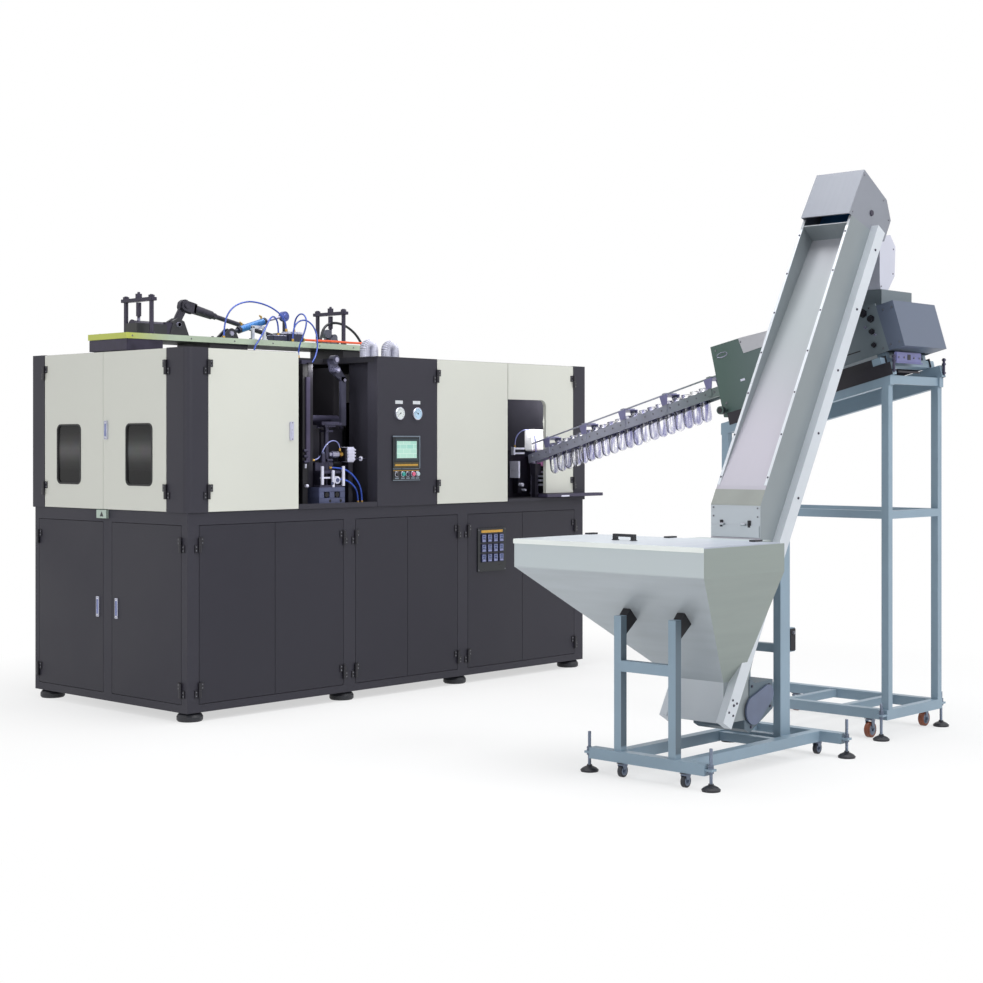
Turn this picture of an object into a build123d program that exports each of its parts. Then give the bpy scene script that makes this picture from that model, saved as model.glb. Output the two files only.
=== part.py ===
from build123d import *
import math
import os

os.makedirs("parts", exist_ok=True)

# Millimetres. X runs along the long front, Y goes into the machine, Z is up.
# The model is drawn from the machine's front left corner on the floor.

# Machine cabinets
cab_length = 3300
cab_depth = 1480
cab_top = 2010
split_z = 1122
foot_height = 50
lower_inset = 10
wall = 50
roof_thick = 30
deck_thick = 18
column_round = 35
corner_x = 141
corner_y = 179

# Doors and hinges
door_gap = 3
door_thick = 25
lower_door_thick = 20
hinge_proud = 9
knuckle_r = 8.4
knuckle_length = 40
knuckle_play = 0.25
leaf_width = 30
leaf_thick = 4
lip = 12
lower_door_z0 = 93
lower_door_z1 = 1055
upper_hinge_zs = (1233, 1905)
lower_hinge_zs = (171, 949)
end_far = cab_depth - 125
end_split = (corner_y + end_far) / 2
front1_x1 = 781
bay_x1 = 1388
column_x1 = 1891
front3_x1 = cab_length - 122
front_split = (column_x1 + door_gap + front3_x1) / 2
door3_bottom = 1170
cut_x1 = front3_x1 - 273
cut_top = 1777
cut_round = 45
window_z0 = 1265
window_height = 335
window_round = 30
window_lip = 6
pane_border = 14
pane_thick = 5
lower_end_openings = ((60, 698), (779, cab_depth - 50))
last_bay = (2173, cab_length - 97)
lower_bays = ((88, 617, 1131), (1223, 1650, 2083), (last_bay[0], sum(last_bay) / 2 - 4, last_bay[1]))

# Control column
column_depth = 85
column_back = 300
bezel = (1510, 1736, 1273, 1539)
bezel_thick = 8
screen = (1543, 1711, 1406, 1509)
button_xs = (1543, 1593, 1635, 1677, 1715)
button_z = 1311
button_r = 13
button_stem_r = 8
button_clearance = 0.4
button_travel = 4
gauge_xs = (1568, 1715)
gauge_z = 1674
gauge_r = 38

# Roof mechanism
plate_x1 = 1850
plate_y0 = 545
plate_y1 = 915
plate_z0 = 2077
plate_z1 = 2110
crank_pivot = (498, 770, 2185)
crank_top = (563, 770, 2299)
rod_end = (1254, 770, 2149)
pin_r = 12
pin_slack = 4
gate_xs = (245, 1712)
gate_ys = (650, 895)

# Feed rail, from the sorter's mouth down to the machine
rail_high = (2347, -1950, 1853)
rail_low = (cut_x1 - 23, 95, 1420)
rail_gap = 62
rail_side = 8
rail_height = 55
preform_body_r = 30
preform_ring_r = 39
preform_neck_r = 27
preform_neck = 28
preform_length = 170
preform_count = 20
preform_pitch = 82

# Sorter
sorter_x0 = 2150
sorter_x1 = 2580
sorter_slope = 14
roller_r = 42
side_length = 1060
roller_length = side_length - 230
collar_top = 2284
chute_mouth = (2232, 2294)

# Elevator
lift_y0 = -2900
lift_y1 = -2620
lift_angle = 60.3
lift_base = (743, 239)
case_front = 184
rail_deep = 72
rail_wide = 40
sheet = 3
hopper_rim = (320, 930, -3140, -2060)
hopper_top = 1045
hopper_skirt = 920
boot_x0 = 800
boot_x1 = 1000
boot_top = 410
boot_bottom = 222
belt_r = 35
belt_thick = 5
boot_axle = (850, 330)
head_axle = (2085, 2659)
trough_foot = 1115
trough_head = 2590
trough_deep = 104
trough_flange = 14
axle_r = 10
axle_play = 0.3


def box(x0, x1, y0, y1, z0, z1):
    """A block between two corners."""
    return Pos((x0 + x1) / 2, (y0 + y1) / 2, (z0 + z1) / 2) * Box(x1 - x0, y1 - y0, z1 - z0)


def along(start, end):
    """A plane at start that looks towards end."""
    return Plane(origin=start, z_dir=Vector(*end) - Vector(*start))


def rod(start, end, radius, sides=12):
    """A round bar between two points, drawn with flats to keep it light."""
    section = along(start, end) * RegularPolygon(radius, sides)
    return extrude(section, (Vector(*end) - Vector(*start)).length)


def bore(start, end, radius):
    """A round hole between two points, whose flats stay clear of the radius."""
    return rod(start, end, radius / math.cos(math.radians(15)))


def profile_y(points, y0, y1):
    """A shape drawn in X and Z, and stretched along Y."""
    face = make_face(Polyline(*[(x, y0, z) for x, z in points], close=True))
    return extrude(face, y1 - y0, dir=(0, 1, 0))


def profile_x(points, x0, x1):
    """A shape drawn in Y and Z, and stretched along X."""
    face = make_face(Polyline(*[(x0, y, z) for y, z in points], close=True))
    return extrude(face, x1 - x0, dir=(1, 0, 0))


def merge(first, *rest):
    """One solid out of pieces that touch."""
    return first.fuse(*rest) if rest else first


def group(*shapes):
    """Pieces of one kind, or of one unit, that stay separate solids."""
    solids = []
    for shape in shapes:
        solids.extend(shape.solids())
    return Compound(children=solids)


nodes = {}

# Hinges: each has a lower knuckle on the frame and an upper one on the door.


def knuckle(z0, z1, side):
    """Half a hinge: its barrel on the axis and its leaf on one side."""
    barrel = extrude(Pos(0, 0, z0) * RegularPolygon(knuckle_r, 6), z1 - z0)
    leaf_x = sorted((0, side * leaf_width))
    leaf = box(leaf_x[0], leaf_x[1], hinge_proud - leaf_thick, hinge_proud, z0, z1)
    return barrel + leaf


def fixed_leaves(zs, side):
    """The frame's halves of one door's hinges, seen from the hinge axis."""
    return [knuckle(z - knuckle_length, z - knuckle_play, -side) for z in zs]


def door(width, z0, z1, thick, zs, side):
    """A door with its moving leaves, its hinge axis at the origin."""
    ends = sorted((side * door_gap, side * (width - door_gap / 2)))
    panel = box(ends[0], ends[1], hinge_proud, hinge_proud + thick, z0, z1)
    leaves = [knuckle(z + knuckle_play, z + knuckle_length, side) for z in zs]
    return merge(panel, *leaves)


def on_front(x, face):
    """Moves a door from its axis to a hinge on a front face."""
    return Pos(x, face - hinge_proud, 0)


def on_end(y, face):
    """Moves a door from its axis to a hinge on the left end face."""
    return Pos(face - hinge_proud, y, 0) * Rot(0, 0, -90)


hinges = []

# Lower cabinet: three rooms behind doors that lie in rebates
rooms = ((60, 1150), (1205, 2100), (2155, cab_length - 60))
lower_x1 = cab_length - lower_inset
lower_y1 = cab_depth - lower_inset
lower = box(lower_inset, lower_x1, lower_inset, lower_y1, foot_height, split_z)
for x0, x1 in rooms:
    lower -= box(x0, x1, 60, lower_y1 - wall, foot_height + 40, split_z - 40)
for x0, split, x1 in lower_bays:
    face = lower_inset
    z0, z1 = lower_door_z0, lower_door_z1
    lower -= box(x0, x1, face, face + lower_door_thick, z0, z1)
    lower -= box(x0 + lip, x1 - lip, face, face + wall + 1, z0 + lip, z1 - lip)
for y0, y1 in lower_end_openings:
    face = lower_inset
    z0, z1 = lower_door_z0, lower_door_z1
    lower -= box(face, face + lower_door_thick, y0, y1, z0, z1)
    lower -= box(face, face + wall + 1, y0 + lip, y1 - lip, z0 + lip, z1 - lip)
latch = box(-8, lower_inset, end_split - 37, end_split + 50, 1096, 1116)
nodes["lower_cabinet"] = merge(lower, latch)

lower_z = (lower_door_z0 + door_gap, lower_door_z1 - door_gap)
handle_z = (524, 624)
for number, (x0, split, x1) in enumerate(lower_bays):
    left = door(split - x0, *lower_z, lower_door_thick, lower_hinge_zs, 1)
    right = door(x1 - split, *lower_z, lower_door_thick, lower_hinge_zs, -1)
    nodes[f"lower_front_door_{number * 2 + 1}"] = on_front(x0, lower_inset) * left
    nodes[f"lower_front_door_{number * 2 + 2}"] = on_front(x1, lower_inset) * right
    hinges += [on_front(x0, lower_inset) * leaf for leaf in fixed_leaves(lower_hinge_zs, 1)]
    hinges += [on_front(x1, lower_inset) * leaf for leaf in fixed_leaves(lower_hinge_zs, -1)]

for name, hinge_y, free_y, side in (
    ("right", lower_end_openings[0][0], lower_end_openings[0][1], -1),
    ("left", lower_end_openings[1][1], lower_end_openings[1][0], 1),
):
    width = abs(free_y - hinge_y) - door_gap / 2
    leaf = door(width, *lower_z, lower_door_thick, lower_hinge_zs, side)
    grip_x = side * (width - 48)
    grip = box(grip_x - 12, grip_x + 12, hinge_proud - 6, hinge_proud, *handle_z)
    nodes[f"lower_end_door_{name}"] = on_end(hinge_y, lower_inset) * merge(leaf, grip)
    hinges += [on_end(hinge_y, lower_inset) * half for half in fixed_leaves(lower_hinge_zs, side)]

# Heater controllers: a plate of small modules on a lower door
plate_proud = 8
heater = (2258, 2518, 688, 960)
modules = box(heater[0], heater[1], lower_inset - plate_proud, lower_inset, heater[2], heater[3])
module_w = 40
module_h = 52
for row in range(3):
    for column in range(4):
        mx = heater[0] + 30 + column * 54
        mz = heater[2] + 60 + row * 62
        front = lower_inset - plate_proud
        modules += box(mx, mx + module_w, front - 6, front, mz, mz + module_h)
nodes["heater_controllers"] = modules

# Upper cabinet: columns, deck and roof round an open bay
inner_face = door_thick + door_gap
corner = box(0, corner_x, 0, corner_y, split_z, cab_top)
corner = fillet(corner.edges().filter_by(Axis.Z).sort_by(Axis.X)[:2].sort_by(Axis.Y)[:1], column_round)
deck_z = split_z + deck_thick
deck = box(inner_face, cab_length, inner_face, cab_depth, split_z, deck_z)
roof = box(inner_face, cab_length, inner_face, cab_depth, cab_top - roof_thick, cab_top)
roof -= box(front1_x1 + 3, bay_x1 + 3, inner_face - 1, 480, cab_top - 40, cab_top + 1)
posts = [
    box(0, corner_x, end_far + door_gap, cab_depth, split_z, cab_top),
    box(front3_x1 + door_gap, cab_length, 0, 150, split_z, cab_top),
    box(front3_x1 + door_gap, cab_length, cab_depth - 150, cab_depth, split_z, cab_top),
    box(inner_face, 60, end_split - 27, end_split + 28, split_z, cab_top),
    box(front1_x1 - 40, front1_x1, inner_face, 68, split_z, cab_top),
    box(front_split - 36, front_split - 2, inner_face, 68, split_z, cab_top),
    box(front1_x1 + 3, bay_x1, 0, inner_face, split_z, split_z + 28),
    box(front_split + 3, front3_x1 + door_gap, 0, inner_face, split_z, deck_z),
]
nodes["upper_frame"] = merge(deck, roof, corner, *posts)

cover_top = cab_top - roof_thick
nodes["rear_cover"] = group(
    box(corner_x, front3_x1 + door_gap, cab_depth - 20, cab_depth, deck_z, cover_top),
    box(cab_length - 20, cab_length, 150, cab_depth - 150, deck_z, cover_top),
)

# Upper doors. The end doors have windows, and the right front door a cut-out.
upper_z = (split_z + door_gap, cab_top - door_gap)


def window(y0, y1, hinge_y):
    """The hole for a pane, with a lip in front, in the door's own frame."""
    x0, x1 = sorted((hinge_y - y0, hinge_y - y1))
    mid = ((x0 + x1) / 2, window_z0 + window_height / 2)
    outline = Plane.XZ.offset(-hinge_proud) * Pos(mid[0], mid[1], 0)
    hole = extrude(outline * RectangleRounded(x1 - x0, window_height, window_round), -door_thick)
    back = hinge_proud + window_lip
    pane = box(x0 - pane_border, x1 + pane_border, back, back + pane_thick,
               window_z0 - pane_border, window_z0 + window_height + pane_border)
    pocket = box(x0 - pane_border, x1 + pane_border, back, hinge_proud + door_thick,
                 window_z0 - pane_border, window_z0 + window_height + pane_border)
    return hole, pocket, pane


for name, hinge_y, free_y, side, sill in (
    ("right", corner_y, end_split, -1, (corner_y + 130, corner_y + 370)),
    ("left", end_far, end_split, 1, (end_far - 366, end_far - 132)),
):
    leaf = door(abs(free_y - hinge_y), *upper_z, door_thick, upper_hinge_zs, side)
    hole, pocket, pane = window(sill[0], sill[1], hinge_y)
    leaf = leaf - hole - pocket
    if side < 0:
        grip_x = side * (end_split - 37 - hinge_y)
        leaf = leaf + box(grip_x - 11, grip_x + 11, hinge_proud - 12, hinge_proud, 1524, 1614)
    nodes[f"end_door_{name}"] = on_end(hinge_y, 0) * leaf
    nodes[f"window_{name}"] = on_end(hinge_y, 0) * pane
    hinges += [on_end(hinge_y, 0) * half for half in fixed_leaves(upper_hinge_zs, side)]

grip = box(front1_x1 - 66, front1_x1 - 48, -14, 0, 1519, 1609)
leaf = door(front1_x1 - corner_x, *upper_z, door_thick, upper_hinge_zs, 1)
nodes["front_door_1"] = merge(on_front(corner_x, 0) * leaf, grip)
leaf = door(front_split - column_x1 - door_gap, *upper_z, door_thick, upper_hinge_zs, 1)
nodes["front_door_2"] = on_front(column_x1, 0) * leaf
leaf = on_front(front3_x1 + door_gap, 0) * door(
    front3_x1 + door_gap - front_split, *upper_z, door_thick, upper_hinge_zs, -1)
cut = box(front_split - 1, cut_x1, -1, door_thick + 1, split_z, cut_top)
cut = fillet(cut.edges().filter_by(Axis.Y).sort_by(Axis.Z)[-2:].sort_by(Axis.X)[-1:], cut_round)
skirt = box(front_split - 1, front3_x1, -1, door_thick + 1, split_z, door3_bottom)
nodes["front_door_3"] = leaf - cut - skirt
for x, side in ((corner_x, 1), (column_x1, 1), (front3_x1 + door_gap, -1)):
    hinges += [on_front(x, 0) * half for half in fixed_leaves(upper_hinge_zs, side)]

# Control column with its screen, buttons and gauges
shell = box(bay_x1 + 3, column_x1, 0, column_depth, split_z, cab_top)
shell += box(bay_x1 + 52, column_x1, column_depth, column_back, deck_z, cover_top)
shell -= box(bay_x1, column_x1 + 1, inner_face, column_depth, split_z - 1, deck_z)
shell -= box(bay_x1, column_x1 + 1, inner_face, column_depth, cover_top, cab_top + 1)
pocket_z = (button_z - 25, button_z + 25)
shell -= box(bezel[0] + 8, bezel[1] - 8, -1, 36, *pocket_z)
nodes["control_column"] = shell

panel = box(bezel[0], bezel[1], -bezel_thick, 0, bezel[2], bezel[3])
panel -= box(screen[0], screen[1], -bezel_thick, 2 - bezel_thick, screen[2], screen[3])
facing = Plane.XZ
for x in button_xs:
    stem_hole = facing * Pos(x, button_z, 0) * RegularPolygon(button_stem_r + button_clearance, 12)
    panel -= extrude(stem_hole, bezel_thick)
nodes["touch_screen"] = panel
for name, x in zip(("start", "auto", "manual", "stop", "reset"), button_xs):
    cap = extrude(facing.offset(bezel_thick + button_travel + 1) * Pos(x, button_z, 0)
                  * RegularPolygon(button_r, 12), 9)
    stem = extrude(facing.offset(-25) * Pos(x, button_z, 0)
                   * RegularPolygon(button_stem_r, 12), 25 + bezel_thick + button_travel + 1)
    nodes[f"button_{name}"] = cap + stem
nodes["gauges"] = group(*[rod((x, 0, gauge_z), (x, -14, gauge_z), gauge_r, 24) for x in gauge_xs])

# Blow unit in the open bay: platens, mould, base block, valve and fittings
platen = (905, 1262)
bay_back = 620
unit = box(platen[0], platen[0] + 40, 110, bay_back, deck_z, 1950)
unit += box(1340, 1380, 330, bay_back, deck_z, 1950)
unit += box(platen[0], 1380, bay_back - 20, bay_back, deck_z, 1950)
rollers = [
    rod((1166, 110, 1985), (1166, 150, 1985), 26),
    rod((1181, 110, 1925), (1181, 150, 1925), 20),
]
lever = profile_y([(1140, 1990), (1190, 1990), (1290, 1870), (1262, 1850), (1160, 1915)], 150, 170)
blow_parts = [
    unit,
    box(970, 1170, 40, 170, deck_z, 1240) - box(1010, 1050, 39, 80, 1180, 1215)
    - box(1090, 1130, 39, 80, 1180, 1215),
    box(945, 985, 110, 200, 1240, 1960),
    box(985, 1150, 240, 600, 1240, 1600),
    box(1160, 1330, 240, 600, 1240, 1600),
    rod((945, 300, 1640), (1340, 300, 1640), 22),
    rod((945, 300, 1200), (1340, 300, 1200), 22),
    box(1245, 1308, 100, 170, 1384, 1473) + box(1260, 1296, 110, 160, deck_z, 1384),
    rod((1104, 130, 1240), (1104, 130, 1590), 15),
    box(1034, 1174, 90, 170, 1590, 1625),
    rod((1142, 130, 1430), (1245, 130, 1430), 20),
    rod((1126, 105, 1240), (1126, 105, 1320), 24),
    merge(lever, *rollers, box(1240, 1280, 150, 170, 1600, 1890), box(1240, 1280, 170, 240, 1600, 1640)),
]
nodes["blow_unit"] = group(*blow_parts)

# Oven bank, and infeed unit drawn from the cut-out's right edge
oven_x = (column_x1 + 69, cut_x1 - 165)
oven = box(*oven_x, 420, 900, deck_z, 1760)
for row in range(4):
    z = deck_z + 120 + row * 120
    oven -= box(oven_x[0] + 30, oven_x[1] - 30, 419, 480, z, z + 70)
nodes["oven_bank"] = oven

tray_z = (deck_z + 5, deck_z + 26)
infeed = [
    box(-145, 235, 200, 360, deck_z, 1450),
    box(5, 165, 120, 200, 1405, 1588),
    box(65, 175, 60, 200, 1345, 1405),
    rod((30, 130, deck_z), (30, 130, 1385), 26),
    merge(box(-55, 515, -60, 0, *tray_z), box(-5, 273, 0, 110, *tray_z),
          box(-5, 273, 40, 110, deck_z, tray_z[0])),
    box(182, 222, 120, 200, 1264, 1432),
    box(-135, -119, 120, 200, 1269, 1380),
    box(-117, -9, 180, 200, 1425, 1468),
]
fins = box(85, 155, 120, 200, deck_z, 1330)
for level in range(4):
    fins += box(71, 169, 110, 200, 1215 + level * 28, 1229 + level * 28)
infeed_saddle = box(-55, 3, 45, 95, 1290, 1390) + box(-39, -15, 60, 90, deck_z, 1290)

# Roof: plate, blocks, brackets and gates
plate_parts = [
    box(0, plate_x1, plate_y0, plate_y1, plate_z0, plate_z1),
    box(30, 170, plate_y0 + 15, plate_y1 - 15, cab_top, plate_z0),
    box(600, 880, plate_y0 + 30, plate_y1 - 30, cab_top, plate_z0),
    box(1640, 1800, plate_y0 + 30, plate_y1 - 30, cab_top, plate_z0),
    box(190, 400, 715, 825, plate_z1, 2180),
]
cheek_points = [(430, plate_z1), (580, plate_z1), (540, 2205), (498, 2225), (462, 2205)]
crank_hole = bore((498, 700, crank_pivot[2]), (498, 840, crank_pivot[2]), pin_r + 0.3)
for y0 in (735, 785):
    plate_parts.append(profile_y(cheek_points, y0, y0 + 20) - crank_hole)
tail_points = [(745, plate_z1), (885, plate_z1), (860, 2165), (835, 2178), (812, 2170)]
for y0 in (660, 705):
    plate_parts.append(profile_y(tail_points, y0, y0 + 15))
slide_gap = 0.4
for y0 in (728, 795 + slide_gap):
    plate_parts.append(box(1240, 1330, y0, y0 + 17 - slide_gap, plate_z1, 2160))
nodes["top_plate"] = merge(*plate_parts)

gates = []
for x in gate_xs:
    gate = box(x - 20, x + 20, gate_ys[0] - 25, gate_ys[1] + 25, 2305, 2325)
    for y in gate_ys:
        gate += rod((x, y, plate_z1), (x, y, 2342), 13, 8)
    mid_y = sum(gate_ys) / 2
    gate += rod((x, mid_y, 2290), (x, mid_y, 2361), 9, 6)
    gates.append(gate)
nodes["tie_gates"] = group(*gates)

# Bell crank on its pivot, and the push rod whose fork takes the crank's pin
arm_axis = Vector(crank_top[0] - crank_pivot[0], 0, crank_top[2] - crank_pivot[2])
arm_side = arm_axis.normalized().cross(Vector(0, 1, 0)) * 24
arm_points = []
for centre, half in ((crank_pivot, 1), (crank_top, 1), (crank_top, -1), (crank_pivot, -1)):
    arm_points.append((centre[0] + half * arm_side.X, centre[2] + half * arm_side.Z))
crank = profile_y(arm_points, 760, 780)
crank += rod((crank_top[0], 760, crank_top[2]), (crank_top[0], 780, crank_top[2]), 38)
crank += rod((crank_top[0], 738, crank_top[2]), (crank_top[0], 802, crank_top[2]), pin_r)
crank += rod((498, 725, crank_pivot[2]), (498, 815, crank_pivot[2]), pin_r)
nodes["bell_crank"] = crank

push_dir = (Vector(*rod_end) - Vector(*crank_top)).normalized()


def on_push(distance):
    """A point on the push rod's line, from the crank's pin."""
    point = Vector(*crank_top) + push_dir * distance
    return (point.X, point.Y, point.Z)


fork = []
for y0 in (742, 784):
    cheek = box(-30, 74, y0, y0 + 14, -28, 28)
    cheek -= bore((0, y0 - 1, 0), (0, y0 + 15, 0), pin_r + pin_slack)
    tilt = math.degrees(math.atan2(-push_dir.Z, push_dir.X))
    fork.append(Pos(crank_top[0], 0, crank_top[2]) * Rot(0, tilt, 0) * cheek)
fork_base = Pos(crank_top[0], 770, crank_top[2]) * Rot(0, tilt, 0) * box(56, 74, -28, 28, -28, 28)
push = merge(
    fork_base, *fork,
    rod(on_push(70), on_push(216), 23.5),
    rod(on_push(210), rod_end, 10),
    box(rod_end[0] - 4, rod_end[0] + 66, 745, 795, 2122, 2172),
)
nodes["push_rod"] = push

air = merge(
    rod((835, 700, 2150), (835, 680, 2150), 20),
    rod((840, 690, 2151), (905, 690, 2172), 12),
    rod((900, 690, 2170), (1110, 690, 2236), 22),
    rod((1105, 690, 2234), (1240, 690, 2268), 8),
    rod((1257, 676, 2271), (1257, 704, 2271), 31),
    rod((1257, 690, plate_z1), (1257, 690, 2250), 9, 6),
)
nodes["air_cylinder"] = air

valves = box(1190, 1310, 565, 650, plate_z1, 2160) + box(1190, 1310, 570, 640, 2160, 2172)
valves += box(1080, 1190, 575, 645, plate_z1, 2145)
arch = box(915, 1020, 572, 590, plate_z1, 2195) - box(933, 1002, 571, 591, plate_z1, 2178)
pipe = rod((1310, 575, 2126), (1822, 575, 2126), 7)
elbow = box(1822, 1850, 564, 588, plate_z1, 2138)
nodes["valve_block"] = group(valves, arch, pipe, elbow)

# Spiral duct: two arches of ribbed hose out of the roof
duct_r = 31
duct_bend = 36
duct_steps = 6
arches = []
for x in (1604, 1782):
    route = [(x - duct_bend, 300, cab_top)]
    for step in range(duct_steps + 1):
        turn = math.pi * step / duct_steps
        route.append((x - duct_bend * math.cos(turn), 300, cab_top + 55 + duct_bend * math.sin(turn)))
    route.append((x + duct_bend, 300, cab_top))
    section = Plane(origin=route[0], z_dir=(0, 0, 1)) * RegularPolygon(duct_r, 8)
    arches.append(sweep(section, path=Polyline(*route), transition=Transition.RIGHT))
nodes["spiral_duct"] = group(*arches)

# Air hoses: straight runs joined by bends as large as their runs allow


def bend_radii(points):
    """A radius for each corner of a route, from its shorter run and its turn."""
    radii = []
    for before, corner_point, after in zip(points, points[1:], points[2:]):
        arriving = Vector(*corner_point) - Vector(*before)
        leaving = Vector(*after) - Vector(*corner_point)
        half_turn = math.radians(arriving.get_angle(leaving)) / 2
        radii.append(0.45 * min(arriving.length, leaving.length) / math.tan(half_turn))
    return radii


def hose(points, radius):
    """A hose of hexagonal section along a route."""
    bends = bend_radii(points)
    print("hose of radius", radius, "bends", [round(bend) for bend in bends])
    path = FilletPolyline(*points, radius=bends)
    start = Plane(origin=points[0], z_dir=Vector(*points[1]) - Vector(*points[0]))
    section = start * RegularPolygon(radius, 6)
    return sweep(section, path=path)


hose_routes = (
    # over the roof plate
    (5, ((743, 625, 2110), (743, 625, 2205), (795, 621, 2297), (905, 618, 2342), (1025, 614, 2334),
         (1125, 608, 2300), (1200, 600, 2238), (1200, 600, 2172))),
    # down into the open bay
    (5, ((1212, 555, 2110), (1212, 555, 2174), (1245, 553, 2233), (1315, 545, 2250), (1375, 530, 2195),
         (1368, 500, 2080), (1300, 462, 1992), (1215, 430, 1952), (1120, 385, 1930), (1035, 350, 1925),
         (945, 350, 1925))),
    # from the valves to the roof, on the left
    (5, ((1150, 615, 2145), (1150, 615, 2195), (1130, 605, 2240), (1085, 585, 2262), (1035, 562, 2235),
         (985, 540, 2175), (930, 524, 2110), (880, 516, 2060), (880, 516, 2010))),
    # from the valves to the roof, on the right
    (5, ((1280, 622, 2172), (1280, 622, 2216), (1279, 600, 2264), (1276, 552, 2286), (1272, 504, 2264),
         (1262, 484, 2212), (1242, 498, 2135), (1220, 512, 2070), (1220, 512, 2010))),
    # supply, behind the right gate
    (8, ((1600, 740, 2110), (1600, 740, 2178), (1644, 737, 2246), (1732, 730, 2262), (1820, 722, 2234),
         (1890, 712, 2180), (1935, 703, 2100), (1935, 703, 2010))),
    # blow unit, upper
    (5, ((1118, 122, 1352), (1180, 112, 1352), (1245, 96, 1336), (1306, 90, 1285), (1350, 90, 1215),
         (1350, 90, 1140))),
    # blow unit, lower
    (5, ((1151, 105, 1286), (1201, 99, 1286), (1262, 92, 1266), (1318, 90, 1212), (1318, 90, 1140))),
    # blow unit's thin tube
    (3.5, ((986, 122, 1396), (1015, 116, 1398), (1044, 108, 1424), (1070, 105, 1478), (1118, 105, 1512),
         (1168, 111, 1508), (1206, 125, 1480), (1206, 125, 1450))),
    # infeed unit's thin tube
    (3.5, ((2811, 190, 1469), (2806, 186, 1515), (2822, 168, 1568), (2868, 134, 1592), (2910, 110, 1562),
         (2925, 106, 1500), (2926, 106, 1440), (2926, 106, 1386))),
)

# Feed rail in its own frame: u runs down the rail, w is square to it and up
low = Vector(*rail_low)
high = Vector(*rail_high)
rail_length = (low - high).length
rail_u = (low - high).normalized()
rail_v = Vector(0, 0, 1).cross(rail_u).normalized()
rail_frame = Plane(origin=high, x_dir=rail_u, z_dir=rail_u.cross(rail_v))
half_gap = rail_gap / 2
rail_parts = []
for side in (-1, 1):
    y0, y1 = sorted((side * half_gap, side * (half_gap + rail_side)))
    rail_parts.append(box(0, rail_length, y0, y1, -rail_height, 0))
guide_z = 62
rail_parts.append(box(20, rail_length - 60, half_gap + 1, half_gap + 8, guide_z - 4, guide_z + 4))
for number in range(5):
    u = 245 + number * 414
    side_post = box(u, u + 30, half_gap + rail_side, half_gap + rail_side + 5, -40, guide_z + 6)
    cross_bar = box(u, u + 30, -half_gap - 8, half_gap + rail_side + 5, guide_z + 4, guide_z + 9)
    far_post = box(u, u + 30, -half_gap - rail_side - 5, -half_gap - rail_side, -40, guide_z + 9)
    cross_bar += box(u, u + 30, -half_gap - rail_side - 5, -half_gap - 8, guide_z + 4, guide_z + 9)
    rail_parts += [side_post, cross_bar, far_post]
nodes["preform_rail"] = rail_frame * merge(*rail_parts)
seated = Pos(cut_x1, 0, 0) * infeed_saddle - nodes["preform_rail"]
infeed_pieces = [Pos(cut_x1, 0, 0) * piece for piece in infeed + [fins]]
nodes["infeed_unit"] = group(*infeed_pieces, seated)

# A preform: thread, support ring, body and rounded tip, hung by its ring
preform_sides = 8
tip_bevel = 18
ring_thick = 5
neck = extrude(RegularPolygon(preform_neck_r, preform_sides), preform_neck)
ring = extrude(RegularPolygon(preform_ring_r, preform_sides), ring_thick)
tube = extrude(RegularPolygon(preform_body_r, preform_sides), -preform_length)
tube = chamfer(tube.edges().group_by(Axis.Z)[0], tip_bevel)
preform = neck + ring + tube
first_preform = 365
nodes["preforms"] = rail_frame * group(*[
    Pos(first_preform + number * preform_pitch, 0, 0) * preform for number in range(preform_count)])

# Sorter in its own frame: along the slope towards the high end, and up
slope_u = Vector(0, -math.cos(math.radians(sorter_slope)), math.sin(math.radians(sorter_slope)))
slope_w = Vector(0, math.sin(math.radians(sorter_slope)), math.cos(math.radians(sorter_slope)))
sorter_origin = Vector((sorter_x0 + sorter_x1) / 2, -1940, 1688)
sorter_frame = Plane(origin=sorter_origin, x_dir=slope_u, z_dir=slope_w)
half_width = (sorter_x1 - sorter_x0) / 2
side_sheet = 6
side_points = [
    (-5, -52), (0, 345), (180, 340), (side_length - 20, 275), (side_length, 20), (230, 0), (75, -75)]
plates = []
for side in (-1, 1):
    y0, y1 = sorted((side * half_width, side * (half_width - side_sheet)))
    face = make_face(Polyline(*[(u, y0, w) for u, w in side_points], close=True))
    plates.append(extrude(face, y1 - y0, dir=(0, 1, 0)))
inside = half_width - side_sheet
cover = box(190, 620, -inside, inside, 312, 318) + box(190, 196, -inside, inside, 230, 312)
floor = box(230, side_length - 40, -inside, inside, 20, 26)
head_wall = box(side_length - 26, side_length - 20, -inside, inside, 30, 260)
roller_w = 178
roller_y = rail_gap / 2 + roller_r
bearing_bar = box(130, 160, -inside, inside, 100, 128)
top_sheet = box(760, side_length - 20, -inside, inside, 256, 262)
saddle = box(-2, 28, -60, 60, 40, 130)
saddle_bar = box(-2, 28, -inside, inside, 40, 66)
knob_stud = rod((20, -half_width + 1, -20), (20, -half_width - 40, -20), 6)
knob = rod((20, -half_width - 30, -20), (20, -half_width - 62, -20), 22)
sorter_body = merge(*plates, cover, floor, head_wall, bearing_bar, top_sheet, saddle_bar, knob_stud, knob)
roller_start = 172
roller_end = roller_start + roller_length
for side in (-1, 1):
    ends = [(u, side * roller_y, roller_w) for u in (roller_start - 60, roller_end + 60)]
    sorter_body -= bore(*ends, axle_r + axle_play)
bearing_wall = box(120, 150, -inside, inside, 128, 230)
bearing_wall -= box(119, 151, -rail_gap / 2 - 20, rail_gap / 2 + 20, 127, 231)
for side in (-1, 1):
    bearing_wall -= bore((100, side * roller_y, roller_w), (200, side * roller_y, roller_w), axle_r + 0.05)
collar = box(2219, 2525, -2880, -2615, 2150, collar_top) - box(2225, 2519, -2874, -2621, 2149, collar_top - 6)
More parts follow.
